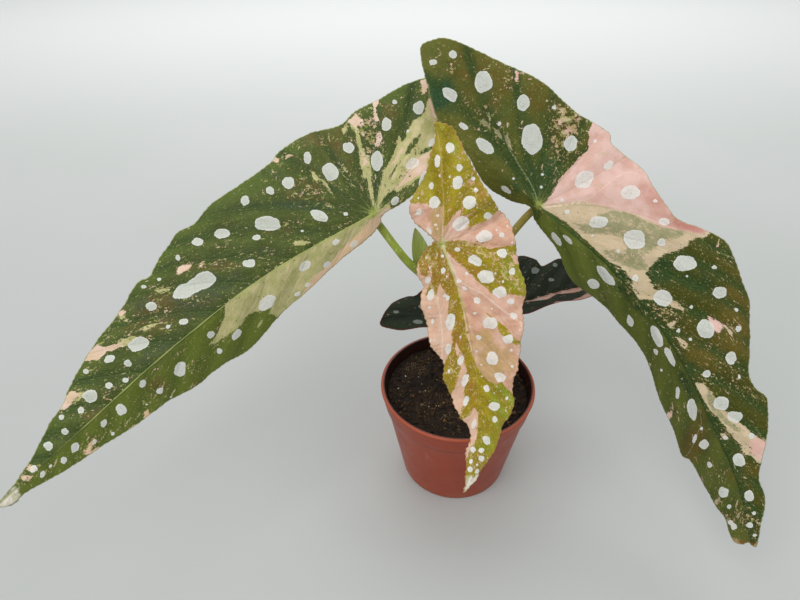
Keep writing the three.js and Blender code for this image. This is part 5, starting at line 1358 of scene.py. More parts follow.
def leaf_freckles(g, look, colour):
    """Freckles and chips in clumps, thicker by the patches."""
    beige = look["beige"]
    by_patch = g.ramp(g.lowest(g.pink, g.cream), 5, 0, 0, 0.75)
    crowd = g.times(g.highest(g.fleck, by_patch), g.ramp(g.clumps, 0.36, 0.6, 0.55, 1.2))
    height = g.add(g.speck, g.times(crowd, look["crowding"]))
    kind = g.noise(g.grain, (34, 22, 0), 2)
    tone = g.coats(
        g.mix(g.ramp(kind, 0.42, 0.5), look["light"], look["fleck"]),
        (g.ramp(kind, 0.52 + beige, 0.6 + beige), look["pink"][1]),
        (g.ramp(height, 0.62, 0.6, 0, 0.5), look["olive"]),
    )
    chip = g.add(g.noise(g.grain, (38, 25, 0), 4, 0.68, 0.6), g.times(g.fleck, 0.05))
    chip_tone = g.mix(g.ramp(kind, 0.45 + beige, 0.55 + beige), look["cream"][1], look["pink"][1])
    return g.coats(
        colour,
        (g.ramp(g.fleck, 0.5, 1.1, 0, 0.55), look["moss"]),
        (g.ramp(height, 0.598, 0.609, 0, 0.9), tone),
        (g.ramp(chip, 0.658, 0.667, 0, 0.9), chip_tone),
    )


def leaf_patches(g, look, colour):
    """Cream, grey-green and pink sectors with torn rims and green islands, and where they are pale."""
    cream_mask = g.ramp(g.ragged(g.cream, 2.0), 0.12, -0.14)
    cream = g.coats(
        g.mix(g.ramp(g.middle, 0.4, 0.6), *look["cream"]),
        (g.ramp(g.streak, 0.51, 0.6, 0, 0.75), look["streak"]),
        (g.ramp(g.thin_streak, 0.44, 0.36, 0, 0.4), look["sage"][0]),
        (g.ramp(g.fine, 0.6, 0.66, 0, 0.5), look["pink"][0]),
        (g.ramp(g.thin_streak, 0.55, 0.61, 0, 0.5), look["pink"][1]),
    )
    sage = g.coats(
        g.mix(g.ramp(g.middle, 0.4, 0.6), *look["sage"]),
        (g.ramp(g.blend(g.speck, g.clumps, 0.7), 0.53, 0.545, 0, 0.75), look["streak"]),
    )
    pink_mask = g.ramp(g.ragged(g.pink, 1.5), 0.12, -0.14)
    pink = g.coats(
        g.mix(g.ramp(g.blend(g.large, g.middle, 0.5), 0.42, 0.58), *look["pink"]),
        # painted light: lighter pinks on half b
        (g.times(g.half, 0.5), look["pink_half_lit"]),
        (g.toned("deep", 0.5), look["deep"]),
        (g.toned("tan"), look["tan"]),
        (g.ramp(g.streak, 0.55, 0.68, 0, 0.45), look["streak"]),
        (g.ramp(g.fine, 0.6, 0.75, 0, 0.3), look["cream"][0]),
    )
    broken = g.mix(pink_mask, cream_mask, g.ramp(g.fleck, 0.4, 0.8))
    islands = g.times(g.ramp(g.add(g.speck, g.times(g.fleck, 0.05)), 0.6, 0.611), broken)
    colour = g.coats(
        colour,
        (cream_mask, cream),
        (g.ramp(g.ragged(g.attr("sage"), 2.6), 0.25, -0.3, 0, 0.92), sage),
        (pink_mask, pink),
        (islands, look["moss"]),
    )
    return colour, g.highest(cream_mask, pink_mask)


def leaf_veins(g, look, colour, pale):
    """Side veins, their net, the pale lines, the star and blush at the joint, and the midrib."""
    on_pale = g.mix(pale, look["vein"], look["streak"])
    line = g.times(g.ramp(g.stir(g.vein, g.fine, 0.5), 0.42, 0.05), g.ramp(g.rib, 24, 1, 0.05, 0.32))
    net = g.ramp(g.cells(g.grain, (30, 16, 0), "DISTANCE_TO_EDGE"), 0.05, 0.0, 0, 0.2)
    drawn = g.ramp(g.stir(g.attr("line"), g.fine, 2.5), 1.1, 0.35, 0, 0.75)
    star = g.times(g.ramp(g.lowest(g.vein, g.rib), 0.6, 0.1), g.ramp(g.reach, 11, 0, 0, look["star"]))
    joint = g.ramp(g.stir(g.reach, g.streak, 9), 3, 0.2, 0, 0.9)
    width = g.ramp(g.along, 0, 110, *look["rib_width"])
    shown = g.ramp(g.stir(g.along, g.middle, 60), *look["rib_reach"], 1, 0.15)
    shown = g.times(g.ramp(g.along, -1, 1, 0, look["rib_share"]), shown)
    frayed = g.add(g.rib, g.times(g.blend(g.fine, g.streak, 0.4), look["fray"]))
    midrib = g.times(g.ramp(g.math("DIVIDE", frayed, width), 1.3, 0.6), shown)
    return g.coats(
        colour,
        (line, on_pale),
        (net, on_pale),
        (drawn, g.mix(pale, look["line"], look["line_pale"])),
        (star, STAR),
        (joint, look["joint"]),
        (midrib, g.mix(g.ramp(g.along, 2, 45), look["rib_top"], look["rib"])),
    )


def leaf_dots(g, look, colour):
    """White dots with faint cracks and grit, the pale tip, burnt end and margin (a painted highlight on the
    left and right blades), and where the dots are.
    """
    spot = g.stir(g.stir(g.attr("spot"), g.fine, 1.1), g.clumps, 0.9)
    dot = g.ramp(spot, 0.1, -0.12)
    inner = g.ramp(spot, -0.5, -2.2, 0.5, 1.3)
    crackle = g.ramp(g.cells(g.leaf, (34, 46, 0), "DISTANCE_TO_EDGE"), 0.04, 0.0, 0, 0.28)
    grit = g.ramp(g.blend(g.tiny, g.fine, 0.6), 0.565, 0.62, 0, 0.5)
    white = g.coats(
        look["dot"],
        # painted light: whiter dots on half b
        (g.times(g.half, 0.5), DOT_HALF_LIT),
        (g.ramp(g.pink, 0.8, -0.8, 0, 0.8), look["dot_pale"]),
        (g.ramp(g.cream, 0.8, -0.8, 0, 0.3), look["dot_pale"]),
        (g.times(crackle, inner), look["light"]),
        (g.times(grit, inner), GRIT),
        (g.ramp(spot, -0.7, -0.15, 0, 0.35), look["dot_rim"]),
    )
    tip = g.ramp(g.stir(g.attr("white"), g.fine, 2.5), 0.6, -0.8)
    tip = g.times(tip, g.ramp(g.rib, 0.15, 0.6, 0.45, 1))
    colour = g.coats(colour, (dot, white), (tip, g.mix(g.ramp(g.streak, 0.45, 0.6), *look["tip"])))
    if look["burnt"]:
        burnt = g.ramp(g.stir(g.along, g.fine, 12), *look["burnt"], 0, 0.85)
        colour = g.mix(burnt, colour, g.mix(g.ramp(g.middle, 0.45, 0.55), *BURNT))
    # The margin line: a painted highlight along the edge on the left and right blades.
    return g.mix(g.ramp(g.edge, 0.55, 0.1, 0, 0.7), colour, look["margin"]), dot


def blade_top(name):
    """Top of a blade, from the greens up to the white dots."""
    g = Leaf(name)
    look = g.look
    colour = leaf_freckles(g, look, leaf_ground(g, look))
    colour, pale = leaf_patches(g, look, colour)
    colour = leaf_veins(g, look, colour, pale)
    colour, dot = leaf_dots(g, look, colour)
    height = g.add(g.times(g.cells(g.leaf, 130), 0.35), g.times(g.fine, 0.5))
    height = g.add(height, g.times(dot, 0.35))
    height = g.add(height, g.ramp(g.vein, 1.0, 0, 0, -0.8))
    height = g.add(height, g.add(g.times(g.thin_streak, 0.5), g.times(g.streak, 0.9)))
    rough = g.add(g.ramp(g.fine, 0.3, 0.7, 0.38, 0.5), g.times(dot, 0.08))
    return g.finish(colour, rough, height, 0.00028, 0.8, look["gloss"])


def blade_under(name):
    """Wine red underside with paler veins, dots and sectors."""
    g = Graph(name + "_under")
    leaf, grain = g.uv("leaf"), g.uv("grain")
    fine = g.noise(leaf, 120, 3, 0.6)
    streak = g.noise(grain, (42, 8, 0), 3, 0.6)
    pale = g.lowest(g.attr("pink"), g.attr("cream"))
    colour = g.coats(
        g.mix(g.ramp(g.noise(leaf, 7, 3), 0.35, 0.65), *UNDER["ground"]),
        (g.ramp(streak, 0.4, 0.7, 0, 0.5), UNDER["streak"]),
        (g.ramp(g.stir(pale, streak, 4), 0.6, -0.8, 0, 0.8), UNDER["pale"]),
        (g.ramp(g.stir(g.attr("spot"), fine, 0.5), 0.4, -0.3, 0, 0.5), UNDER["dot"]),
        (g.ramp(g.attr("vein"), 1.0, 0.2, 0, 0.6), UNDER["vein"]),
        (g.ramp(g.attr("rib"), 1.6, 0.5, 0, 0.8), UNDER["rib"]),
    )
    height = g.add(g.times(g.cells(leaf, 120), 0.5), fine)
    return g.finish(colour, g.ramp(fine, 0.3, 0.7, 0.45, 0.58), height, 0.00018, 0.6, 0.4)


BLADE_SLOTS = {
    "blade_left": "leaf_mature", "blade_right": "leaf_mature", "blade_centre": "leaf_young",
    "blade_back": "leaf_shaded",
}
for blade_name, blade_spec in BLADES.items():
    blade = blade_mesh(blade_name, blade_spec)
    blade.materials.append(blade_top(blade_name))
    blade.materials.append(blade_under(blade_name))
    show(blade_name + "_leaf", blade, BLADE_SLOTS[blade_name], blade_name)


# Cane and stalks

# A stem's slot, how much blush it has, and its colours: two of the ground and the streaks.
STEMS = {
    "cane": ("cane", 0.5, ["#6f7a3a", "#7d8446", "#8c9152"]),
    "stalk_left": ("stalk_green", 0.3, ["#839634", "#93a63c", "#a9b854"]),
    "stalk_right": ("stalk_olive", 0.3, ["#84772a", "#918232", "#9c8f42"]),
    "stalk_centre": ("stalk_green", 0.3, ["#8f9044", "#a3a04c", "#b0ae62"]),
    "stalk_back": ("stalk_olive", 0.3, ["#5f6b33", "#6c763a", "#7a8446"]),
}
CAPS = [(-0.85, 0.35), (-0.5, 0.75)]  # rings of a rounded end: how far back and how wide, in radii
CAP_DEPTH = 0.6
RIDGES = ((7, 0, 1), (11, 1, 0.6))  # ridges round a stem, where they start and how high they are


def round_bar(name, points, steps, sides, ridges, swell=None):
    """A round bar with rounded ends and faint ridges along it."""
    line = centripetal_curve(points, steps)
    centres, radii = line[:, :3], line[:, 3].copy()
    if swell is not None:
        radii = radii + swell(centres[:, 2])
    ahead = unit(np.gradient(centres, axis=0))
    side = np.cross(ahead[0], [0.3, 1.0, 0.2])
    angles = np.arange(sides) * 2 * math.pi / sides
    girth = 1 + ridges * sum(high * np.cos(angles * count + start) for count, start, high in RIDGES)
    last = len(centres) - 1
    frames = []
    for forward in ahead:
        side = unit(side - forward * side.dot(forward))
        frames.append((side, np.cross(forward, side)))
    order = [(0, back, size) for back, size in CAPS] + [(i, 0, 1) for i in range(last + 1)]
    order += [(last, -back, size) for back, size in reversed(CAPS)]
    rings = []
    for i, back, size in order:
        right, over = frames[i]
        spokes = np.outer(np.cos(angles) * girth, right) + np.outer(np.sin(angles) * girth, over)
        rings.append(centres[i] + ahead[i] * back * radii[i] * CAP_DEPTH + radii[i] * size * spokes)
    foot = (len(rings) - 1) * sides
    ends = len(rings) * sides
    faces = loft_faces(len(rings), sides)
    for k in range(sides):
        faces.append((ends, (k + 1) % sides, k))
        faces.append((ends + 1, foot + k, foot + (k + 1) % sides))
    mesh = make_mesh(name, np.vstack([*rings, rings[0].mean(0), rings[-1].mean(0)]), faces)
    run = distances(centres)
    runs = np.concatenate([[0] * len(CAPS), run, [run[-1]] * len(CAPS)])
    add_field(mesh, "run", np.concatenate([np.repeat(runs, sides), [0, run[-1]]]))
    return mesh


def stem_material(name, blush, colours, ring_heights=()):
    """Juicy green stem with paler streaks, tiny pale specks and a reddish blush."""
    g = Graph(name)
    place = g.place()
    streak = g.noise(place, (1500, 1500, 160), 3, 0.6)
    fine = g.noise(place, 1400, 3, 0.6)
    colour = g.coats(
        g.mix(g.ramp(g.noise(place, 60, 2), 0.35, 0.65), colours[0], colours[1]),
        (g.ramp(streak, 0.45, 0.7, 0, 0.5), colours[2]),
        (g.ramp(g.cells(g.stretch(place, (1, 1, 0.5)), 420), 0.2, 0.12, 0, 0.55), "#c9cfa0"),
        (g.ramp(g.noise(place, 180, 3), 0.5, 0.68, 0, blush), "#7a4a30"),
    )
    for height in ring_heights:
        away = g.math("ABSOLUTE", g.add(g.axis(place, 2), -height * MM))
        colour = g.mix(g.ramp(away, 0.0012, 0.0004, 0, 0.7), colour, "#7c6a3c")
    height = g.add(g.times(streak, 0.8), g.times(fine, 0.4))
    return g.finish(colour, g.ramp(fine, 0.3, 0.7, 0.34, 0.46), height, 0.00015, 0.6)


def cane_swelling(z):
    return sum(CANE["swelling"] * bump(z - joint, CANE["swelling_length"]) for joint in CANE["joints"])


def show_stem(name, mesh, ring_heights=()):
    slot, blush, colours = STEMS[name]
    mesh.materials.append(stem_material(name + "_skin", blush, colours, ring_heights))
    show(name + "_stem", mesh, slot, name)


show_stem("cane", round_bar("cane", CANE["line"], 150, 32, 0.012, cane_swelling), CANE["joints"])
for stalk_name, stalk_line in STALKS.items():
    show_stem(stalk_name, round_bar(stalk_name, stalk_line, 80, 28, 0.018))


# Stipule

def stipule_mesh():
    """A thin cupped scale with a pointed tip and a keel."""
    rows, columns = 40, 24
    foot, top = np.array(STIPULE["foot"], float), np.array(STIPULE["top"], float)
    axis = top - foot
    across = unit(np.array(STIPULE["across"], float))
    out = unit(np.cross(across, axis))
    i, k = np.meshgrid(np.linspace(0, 1, rows + 1), np.linspace(-1, 1, columns + 1), indexing="ij")
    share = STIPULE["foot_share"]
    outline = np.sin(math.pi * np.minimum(1, share + (1 - share) * i)).clip(0) ** STIPULE["bluntness"]
    breadth = outline * (1 - STIPULE["taper"] * i)
    depth = STIPULE["cup"] * k ** 2 * breadth - STIPULE["keel"] * bump(k, STIPULE["keel_share"]) * (1 - i)
    depth = depth + STIPULE["ripple"] * np.sin(k * 17 + 3 * i) * (1 - k ** 2)
    middle = foot + axis * i[..., None] + across * (k * breadth * STIPULE["width"] / 2)[..., None]
    middle = middle + out * depth[..., None]
    thick = out * (STIPULE["edge_half"] * (1 + (1 - np.abs(k)) * (1 - i)))[..., None]
    points = np.concatenate([(middle - thick).reshape(-1, 3), (middle + thick).reshape(-1, 3)])
    side = columns + 1
    other = (rows + 1) * side
    faces = []
    for a in (r * side + c for r in range(rows) for c in range(columns)):
        faces.append((a, a + side, a + side + 1, a + 1))
        faces.append((a + other, a + other + 1, a + other + side + 1, a + other + side))
    ring = [c for c in range(side)] + [r * side + columns for r in range(1, rows + 1)]
    ring += [rows * side + c for c in range(columns - 1, -1, -1)] + [r * side for r in range(rows - 1, 0, -1)]
    faces += [(a, b, b + other, a + other) for a, b in zip(ring, ring[1:] + ring[:1])]
    return make_mesh("stipule", points, faces)


def stipule_material():
    """Pale green, drier towards the tip."""
    g = Graph("stipule_skin")
    place = g.place()
    tip = STIPULE["top"][2] * MM
    streak = g.noise(place, (900, 900, 70), 3, 0.6)
    fine = g.noise(place, 1300, 3, 0.6)
    colour = g.coats(
        g.mix(g.ramp(streak, 0.35, 0.65), "#a2b652", "#b6c66e"),
        (g.ramp(g.axis(place, 2), tip - 0.01, tip, 0, 0.5), "#b7b88a"),
        (g.ramp(fine, 0.5, 0.8, 0, 0.3), "#cfd8a8"),
    )
    height = g.add(streak, g.times(fine, 0.4))
    return g.finish(colour, g.ramp(fine, 0.3, 0.7, 0.4, 0.52), height, 0.00015, 0.7, 0.5)


stipule = stipule_mesh()
stipule.materials.append(stipule_material())
show("stipule_scale", stipule, "stipule", "stipule")


# Pot

POT_TAPER = (POT["rim_radius"] - POT["band_step"] - POT["base_radius"]) / POT["height"]


def inner_radius(z):
    return POT["base_radius"] + POT_TAPER * z - POT["wall"]


def outer_radius(z):
    return inner_radius(z) + POT["wall"]


def arc(centre, radius, start, end, steps):
    turns = np.radians(np.linspace(start, end, steps))
    return [(centre[0] + radius * math.cos(t), centre[1] + radius * math.sin(t)) for t in turns]


def pot_profile():
    """Rows (radius, z) from the foot up the wall and band, over the lip and down the inside to the floor."""
    top, step = POT["height"], POT["height"] - POT["band_height"]
    foot, out, corner = POT["foot"], POT["band_step"], POT["floor_corner"]
    outer_lip, inner_lip = POT["outer_lip"], POT["inner_lip"]
    rows = arc((outer_radius(foot) - foot, foot), foot, -90, -3, 7)
    rows += [(outer_radius(z), z) for z in (*POT["wall_rows"], step - POT["band_ease"])]
    rows += [(outer_radius(step + at) + outwards, step + up) for at, up, outwards in POT["step_rows"]]
    rows += [(outer_radius(z) + out, z) for z in (step + 3, step + 6, top - 3.2)]
    rows += arc((POT["rim_radius"] - outer_lip, top - outer_lip), outer_lip, 0, 90, 7)
    rows += arc((inner_radius(top) + inner_lip, top - inner_lip), inner_lip, 90, 180, 6)
    rows += [(inner_radius(z), z) for z in POT["inside_rows"]]
    rows += arc((inner_radius(POT["floor"]) - corner, POT["floor"] + corner), corner, 0, -90, 5)
    return rows


def floor_triangles(border, drains):
    """Triangles of a disc with round holes, over the points of its border and then of its holes."""
    rings = [border, *drains]
    flat = np.vstack(rings)
    edges, start = [], 0
    for ring in rings:
        edges += [(start + i, start + (i + 1) % len(ring)) for i in range(len(ring))]
        start += len(ring)
    _, _, triangles, origin, _, _ = delaunay_2d_cdt([Vector(p) for p in flat], edges, [], 1, 1e-6)
    kept = []
    for triangle in triangles:
        triangle = [min(origin[j]) for j in triangle]
        p = flat[triangle]
        if all(np.linalg.norm(p.mean(0) - drain.mean(0)) > POT["drain_radius"] * 0.99 for drain in drains):
            turn = np.cross(np.append(p[1] - p[0], 0), np.append(p[2] - p[0], 0))[2]
            kept.append(triangle if turn > 0 else triangle[::-1])
    return kept


def pot_mesh():
    """A thin-walled round pot turned round its axis, and a floor with drain holes."""
    count, holes, around = POT["segments"], POT["drain_count"], POT["drain_segments"]
    profile = pot_profile()
    points = [(x, y, z) for radius, z in profile for x, y in circle(radius, count)]
    faces = loft_faces(len(profile), count)
    wall_faces = len(faces)
    turns = 2 * math.pi * (np.arange(holes) + 0.5) / holes
    centres = POT["drain_ring"] * np.column_stack([np.cos(turns), np.sin(turns)])
    drains = [circle(POT["drain_radius"], around, centre) for centre in centres]
    starts = []
    for row, z, up in ((0, 0.0, False), (len(profile) - 1, POT["floor"], True)):
        start = len(points)
        points += [(x, y, z) for x, y in np.vstack(drains)]
        starts.append(start)
        for face in floor_triangles(circle(profile[row][0], count), drains):
            face = [row * count + j if j < count else start + j - count for j in face]
            faces.append(face if up else face[::-1])
    low, high = starts
    for a in range(holes * around):
        b = a - around + 1 if a % around == around - 1 else a + 1
        faces.append((low + b, low + a, high + a, high + b))
    return make_mesh("pot", points, faces, smooth=np.arange(len(faces)) < wall_faces)


def pot_material():
    """Moulded terracotta-coloured plastic with a satin skin, dust and water marks, a painted highlight along
    the top of the rim, painted shadow under the band's step and painted shade inside.
    """
    g = Graph("pot_plastic")
    place = g.place()
    z = g.axis(place, 2)
    top, step = POT["height"] * MM, (POT["height"] - POT["band_height"]) * MM
    cloud = g.noise(place, 110, 4, 0.6)
    fine = g.noise(place, 1500, 3, 0.6)
    dust = g.times(g.ramp(z, 0.012, 0.0), g.ramp(cloud, 0.4, 0.65))
    # Painted shadow: a dark line just under the band's step.
    step_shadow = g.times(g.ramp(z, step - 0.0024, step - 0.001), g.ramp(z, step + 0.0001, step - 0.0003))
    flat = g.stretch(place, (1, 1, 0))
    away = g.node("ShaderNodeVectorMath", {0: flat}, operation="LENGTH").outputs["Value"]
    # Painted shade: the inner wall and the inner half of the lip darkened nearly to black.
    wall = g.add(g.times(z, POT_TAPER), POT["base_radius"] * MM)
    inside_shade = g.ramp(g.add(away, g.times(wall, -1)), -0.0001, -0.0005, 0, 0.95)
    inside_shade = g.times(inside_shade, g.ramp(z, top + 0.0004, top - 0.0002))
    colour = g.coats(
        g.mix(g.ramp(g.noise(place, 22, 2), 0.35, 0.65), "#9c4026", "#913a22"),
        (g.ramp(g.noise(place, (260, 260, 30), 3, 0.6), 0.45, 0.75, 0, 0.2), "#a3472c"),
        (g.ramp(fine, 0.55, 0.75, 0, 0.2), "#863820"),
        (g.times(dust, 0.35), "#b98a74"),
        # painted highlight along the top of the rim
        (g.ramp(z, top - 0.0016, top - 0.0004, 0, 0.45), "#b9603f"),
        (g.ramp(z, top / 2, 0.0, 0, 0.35), "#a94b30"),
        # painted shadow under the band's step
        (g.times(step_shadow, g.ramp(cloud, 0.42, 0.55, 0.5, 0.95)), "#4a1a10"),
        # painted shade inside the pot
        (inside_shade, "#1c130e"),
        (g.ramp(g.noise(place, (160, 160, 60), 4, 0.7), 0.62, 0.7, 0, 0.18), "#c08a72"),
    )
    scratch = g.ramp(g.cells(place, (70, 70, 900)), 0.05, 0.02, 0, -0.3)
    rough = g.add(g.ramp(cloud, 0.3, 0.7, 0.36, 0.46), g.times(dust, 0.2))
    height = g.add(g.blend(fine, cloud, 0.5), scratch)
    return g.finish(colour, rough, height, 0.0001, 0.5, 0.35)


pot = pot_mesh()
pot.materials.append(pot_material())
show("pot_shell", pot, "pot_plastic", "pot")


# Soil

SOIL_SEED = 41
SOIL_WAVES = (17.0, 11.0, 7.5, 5.2, 3.6, 2.5, 1.9)
WAVE_TURNS = 4  # directions of each wave
WAVE_HEIGHT = 0.017  # as a share of the wave
BITS_SEED = 77
# Loose bits: how many, smallest and largest size, two colours and roughness.
BITS = {
    "crumb": (780, 0.7, 2.6, "#140d08", "#46331f", 0.85),
    "bark": (120, 0.8, 2.2, "#49341f", "#735636", 0.7),
    "perlite": (18, 0.5, 1.1, "#c9c6bb", "#e6e3d8", 0.8),
    "fibre": (260, 2.2, 8.0, "#3c2d1c", "#86714e", 0.75),
    "sand": (26, 0.4, 0.8, "#a8843c", "#c9a54e", 0.5),
    "moss": (14, 0.8, 2.2, "#48552a", "#75803e", 0.8),
}
TUFTS = [(-5, -26, 5), (-23, 17, 6), (22, -16, 6), (-19, -12, 7), (12, 18, 7), (0, 0, 18)]  # x, y, spread
CANE_CLEARANCE = (0.8, 1, 4.2)  # x, y and radius kept free of bits
FIBRE = {"steps": 7, "sides": 5, "thin": 0.05, "thick": 0.14, "bend": 1.2, "tilt": 0.12, "lift": 0.25}
LUMP = {"uneven": 0.22, "flat": (0.45, 0.9), "narrow": (0.6, 1), "lift": 0.12}  # shares of the lump's size


def soil_noise(x, y):
    """Rough height of loose soil, from waves in many directions."""
    rng = np.random.default_rng(SOIL_SEED)
    total = np.zeros_like(x)
    for wave in SOIL_WAVES:
        for _ in range(WAVE_TURNS):
            turn, start = rng.uniform(0, 2 * math.pi, 2)
            along, across = x * math.cos(turn) + y * math.sin(turn), y * math.cos(turn) - x * math.sin(turn)
            sway_by = 1.3 * np.sin(2 * math.pi * across / (wave * 1.7) + start)
            total = total + wave * WAVE_HEIGHT * np.sin(2 * math.pi * along / wave + start + sway_by)
    return total


def soil_height(x, y):
    rim = inner_radius(SOIL["level"])
    away = np.hypot(x, y)
    calm = np.clip((rim - away) / SOIL["calm_width"], SOIL["calm_share"], 1)
    return SOIL["level"] - SOIL["drop"] + SOIL["mound"] * (1 - (away / rim) ** 2) + soil_noise(x, y) * calm


def soil_mesh():
    """A closed body of soil with a rough top."""
    edge = inner_radius(SOIL["level"]) - SOIL["edge_gap"]
    floor = POT["floor"] + SOIL["floor_gap"]
    count = SOIL["segments"]
    fine = np.array([edge, SOIL["fine_reach"]])
    lattice = hex_lattice(-fine, fine, SOIL["spacing"])
    lattice = lattice[np.hypot(lattice[:, 0], lattice[:, 1]) < edge - SOIL["fine_gap"]]
    xy, faces, origin = fill_ring(circle(edge, count), lattice)
    top = np.column_stack([xy, soil_height(xy[:, 0], xy[:, 1])])
    top[np.hypot(xy[:, 0], xy[:, 1]) > edge - 0.01, 2] -= SOIL["edge_sink"]
    first = [min(given) if given else count for given in origin]
    ring = sorted((j for j, given in enumerate(first) if given < count), key=lambda j: first[j])
    foot_share = (inner_radius(floor) - SOIL["foot_gap"]) / edge
    bottom = np.column_stack([xy[ring] * foot_share, np.full(count, floor)])
    foot, centre = len(top), len(top) + count
    faces = [tuple(face) for face in faces]
    for k in range(count):
        n = (k + 1) % count
        faces += [(ring[n], ring[k], foot + k, foot + n), (centre, foot + n, foot + k)]
    return make_mesh("soil", np.vstack([top, bottom, [[0, 0, floor]]]), faces)


def soil_material():
    """Dark damp peat with fibres and light specks."""
    g = Graph("soil_peat")
    place = g.place()
    lumps = g.cells(place, 620)
    fine = g.noise(place, 1500, 4, 0.7)
    colour = g.coats(
        g.mix(g.ramp(g.noise(place, 90, 3, 0.6), 0.35, 0.65), "#150d07", "#2a1d10"),
        (g.ramp(lumps, 0.55, 0.1, 0, 0.6), "#2f2115"),
        (g.ramp(g.noise(place, (500, 1500, 900), 3, 0.7, 1.5), 0.6, 0.68, 0, 0.7), "#5c4128"),
        (g.ramp(fine, 0.7, 0.76, 0, 0.6), "#8a6a3e"),
        (g.ramp(fine, 0.42, 0.3, 0, 0.7), "#120c08"),
    )
    height = g.add(g.times(fine, 0.8), g.times(lumps, -0.8))
    return g.finish(colour, g.ramp(fine, 0.3, 0.7, 0.78, 0.95), height, 0.0006, 1.0)


def bit_material(name, low, high, rough):
    g = Graph(name)
    place = g.place()
    fine = g.noise(place, 1800, 3, 0.6)
    colour = g.mix(g.ramp(g.blend(g.noise(place, 160, 2), fine, 0.7), 0.38, 0.62), low, high)
    return g.finish(colour, g.ramp(fine, 0.3, 0.7, rough, rough + 0.1), fine, 0.0003, 1.0)


def rounded_cube():
    """Points and faces of a cube of three by three squares a side, pulled towards a ball."""
    side = np.linspace(-1, 1, 4)
    points, index, faces = [], {}, []

    def at(p):
        key = tuple(np.round(p, 3))
        if key not in index:
            index[key] = len(points)
            points.append(p)
        return index[key]

    for axis in range(3):
        for sign in (-1, 1):
            for i, j in ((i, j) for i in range(3) for j in range(3)):
                corners = []
                for a, b in ((i, j), (i + 1, j), (i + 1, j + 1), (i, j + 1)):
                    corners.append(at(np.roll([sign, side[a], side[b]], axis)))
                faces.append(corners if sign > 0 else corners[::-1])
    p = np.array(points)
    return p / np.linalg.norm(p, axis=1, keepdims=True) ** 0.75, faces


CUBE_POINTS, CUBE_FACES = rounded_cube()


def lump(rng, size, squash):
    """A small closed lump: a rounded cube pushed about."""
    p = CUBE_POINTS * (1 + rng.uniform(-LUMP["uneven"], LUMP["uneven"], (len(CUBE_POINTS), 1)))
    p = p * np.array(squash) * size / 2
    turn = np.linalg.qr(rng.normal(size=(3, 3)))[0]
    if np.linalg.det(turn) < 0:
        turn[:, 0] = -turn[:, 0]
    return p @ turn.T, CUBE_FACES


def fibre(rng, length):
    """A short bent strand."""
    count, sides = FIBRE["steps"], FIBRE["sides"]
    turn = rng.uniform(0, 2 * math.pi)
    bend, tilt = (rng.uniform(-FIBRE[key], FIBRE[key]) for key in ("bend", "tilt"))
    radius = rng.uniform(FIBRE["thin"], FIBRE["thick"])
    s = np.linspace(-0.5, 0.5, count)
    heading = turn + bend * s
    path = np.cumsum(np.stack([np.cos(heading), np.sin(heading), tilt + 0 * s], 1) * length / count, axis=0)
    path -= path.mean(0)
    points = []
    for i in range(count):
        side = np.array([-math.sin(heading[i]), math.cos(heading[i]), 0])
        size = radius * (1 - 0.6 * abs(2 * s[i]) ** 3)
        for t in np.arange(sides) * 2 * math.pi / sides:
            points.append(path[i] + size * (side * math.cos(t) + np.array([0, 0, 1]) * math.sin(t)))
    foot = (count - 1) * sides
    ends = [tuple(range(sides)), tuple(range(foot + sides - 1, foot - 1, -1))]
    return np.array(points), turned_over(loft_faces(count, sides)) + ends


def bit_place(rng, kind, limit):
    """A place on the soil, for fibres in a tuft."""
    away = limit * math.sqrt(rng.uniform(0, 1))
    turn = rng.uniform(0, 2 * math.pi)
    if kind != "fibre":
        return away * math.cos(turn), away * math.sin(turn)
    x, y, spread = TUFTS[rng.integers(len(TUFTS))]
    return x + spread * rng.normal() * 0.7, y + spread * rng.normal() * 0.7


def soil_bits():
    """Crumbs, bark chips, fibres and specks of perlite that lie on the soil."""
    rng = np.random.default_rng(BITS_SEED)
    points, faces, slots, total = [], [], [], 0
    limit = inner_radius(SOIL["bits_level"]) - SOIL["bits_gap"]
    cane_x, cane_y, cane_radius = CANE_CLEARANCE
    for slot, (kind, (count, small, big, *_)) in enumerate(BITS.items()):
        for _ in range(count):
            x, y = bit_place(rng, kind, limit)
            if math.hypot(x - cane_x, y - cane_y) < cane_radius or math.hypot(x, y) > limit:
                continue
            size = small + (big - small) * rng.uniform() ** 1.8
            if kind == "fibre":
                (bits, sides), lift = fibre(rng, size), FIBRE["lift"]
            else:
                squash = (1, rng.uniform(*LUMP["narrow"]), rng.uniform(*LUMP["flat"]))
                (bits, sides), lift = lump(rng, size, squash), size * LUMP["lift"]
            points.append(bits + [x, y, soil_height(np.array([x]), np.array([y]))[0] + lift])
            faces += [[k + total for k in face] for face in sides]
            slots += [slot] * len(sides)
            total += len(bits)
    return make_mesh("soil_bits", np.vstack(points), faces, slots=slots)


soil = soil_mesh()
soil.materials.append(soil_material())
show("soil_top", soil, "soil", "soil")
bits = soil_bits()
for bit_name, (_, _, _, *bit_look) in BITS.items():
    bits.materials.append(bit_material(bit_name, *bit_look))
show("soil_crumbs", bits, "soil")


# Floor, light and camera

FLOOR_REACH = 3.0
SKY = (0.95, 0.98, 1.0, 1.0)
SKY_STRENGTH = 0.47
# Square lamps: place, target, size, power and colour, in metres and watts.
LAMPS = {
    "window": ((-0.7, -0.9, 1.5), (0, 0, 0.12), 1.3, 15, (1.0, 0.99, 0.97)),
    "fill": ((0.9, -0.3, 1.2), (0, 0, 0.12), 1.4, 5, (1, 1, 1)),
    "far": ((0, 1.6, 1.6), (0, 1.7, 0), 2.4, 30, (1, 1, 1)),
}
LENS = 27.0  # on a sensor 36 wide
CAMERA_PLACE = (-0.033, -0.255, 0.316)
PITCH = 36.4  # degrees down
ROLL = -0.9


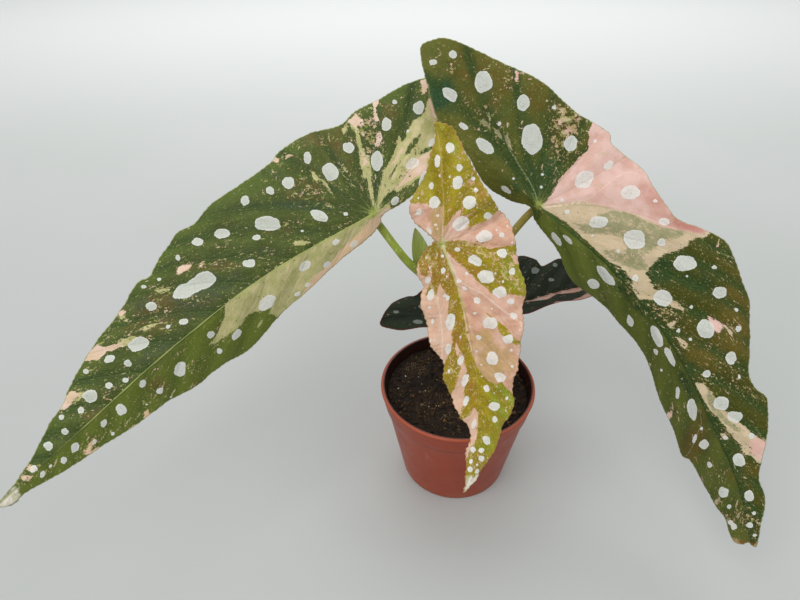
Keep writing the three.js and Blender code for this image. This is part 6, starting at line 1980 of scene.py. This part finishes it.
def floor_material():
    """Pale painted floor, lighter towards the back."""
    g = Graph("floor_paint")
    place = g.place()
    colour = g.mix(g.ramp(g.noise(place, 2.2, 3), 0.35, 0.65), "#b3b6b3", "#b8bab8")
    colour = g.mix(g.ramp(g.axis(place, 1), 0.1, 1.4), colour, "#dfe1df")
    return g.finish(colour, 0.62, g.noise(place, 240, 3), 0.0002, 0.15)


def lamp(name, place, target, size, power, colour):
    light = bpy.data.lights.new(name, "AREA")
    light.shape = "SQUARE"
    light.size = size
    light.energy = power
    light.color = colour
    holder = put_in_scene(name, light)
    holder.location = place
    holder.rotation_euler = (Vector(target) - Vector(place)).to_track_quat("-Z", "Y").to_euler()


def photo_camera():
    """The camera that took the photo, worked out from the pot."""
    data = bpy.data.cameras.new("camera")
    data.sensor_fit = "HORIZONTAL"
    data.sensor_width = 36.0
    data.lens = LENS
    pitch, roll = math.radians(PITCH), math.radians(ROLL)
    forward = Vector((0, math.cos(pitch), -math.sin(pitch)))
    over = Vector((0, math.sin(pitch), math.cos(pitch)))
    right = Vector((1, 0, 0)) * math.cos(roll) + over * math.sin(roll)
    above = over * math.cos(roll) - Vector((1, 0, 0)) * math.sin(roll)
    camera = put_in_scene("camera", data)
    turn = Matrix((right, above, -forward)).transposed()
    camera.matrix_world = Matrix.Translation(CAMERA_PLACE) @ turn.to_4x4()
    return camera


floor = bpy.data.meshes.new("floor")
corners = [(-1, -1, 0), (1, -1, 0), (1, 1, 0), (-1, 1, 0)]
floor.from_pydata([(x * FLOOR_REACH, y * FLOOR_REACH, z) for x, y, z in corners], [], [(0, 1, 2, 3)])
floor.materials.append(floor_material())
floor_piece = put_in_scene("floor", floor)

scene = bpy.context.scene
scene.world = bpy.data.worlds.new("room")
scene.world.use_nodes = True
background = scene.world.node_tree.nodes["Background"]
background.inputs["Color"].default_value = SKY
background.inputs["Strength"].default_value = SKY_STRENGTH
for lamp_name, lamp_values in LAMPS.items():
    lamp(lamp_name, *lamp_values)
scene.camera = photo_camera()
scene.view_settings.view_transform = "Standard"
scene.view_settings.exposure = 0.0
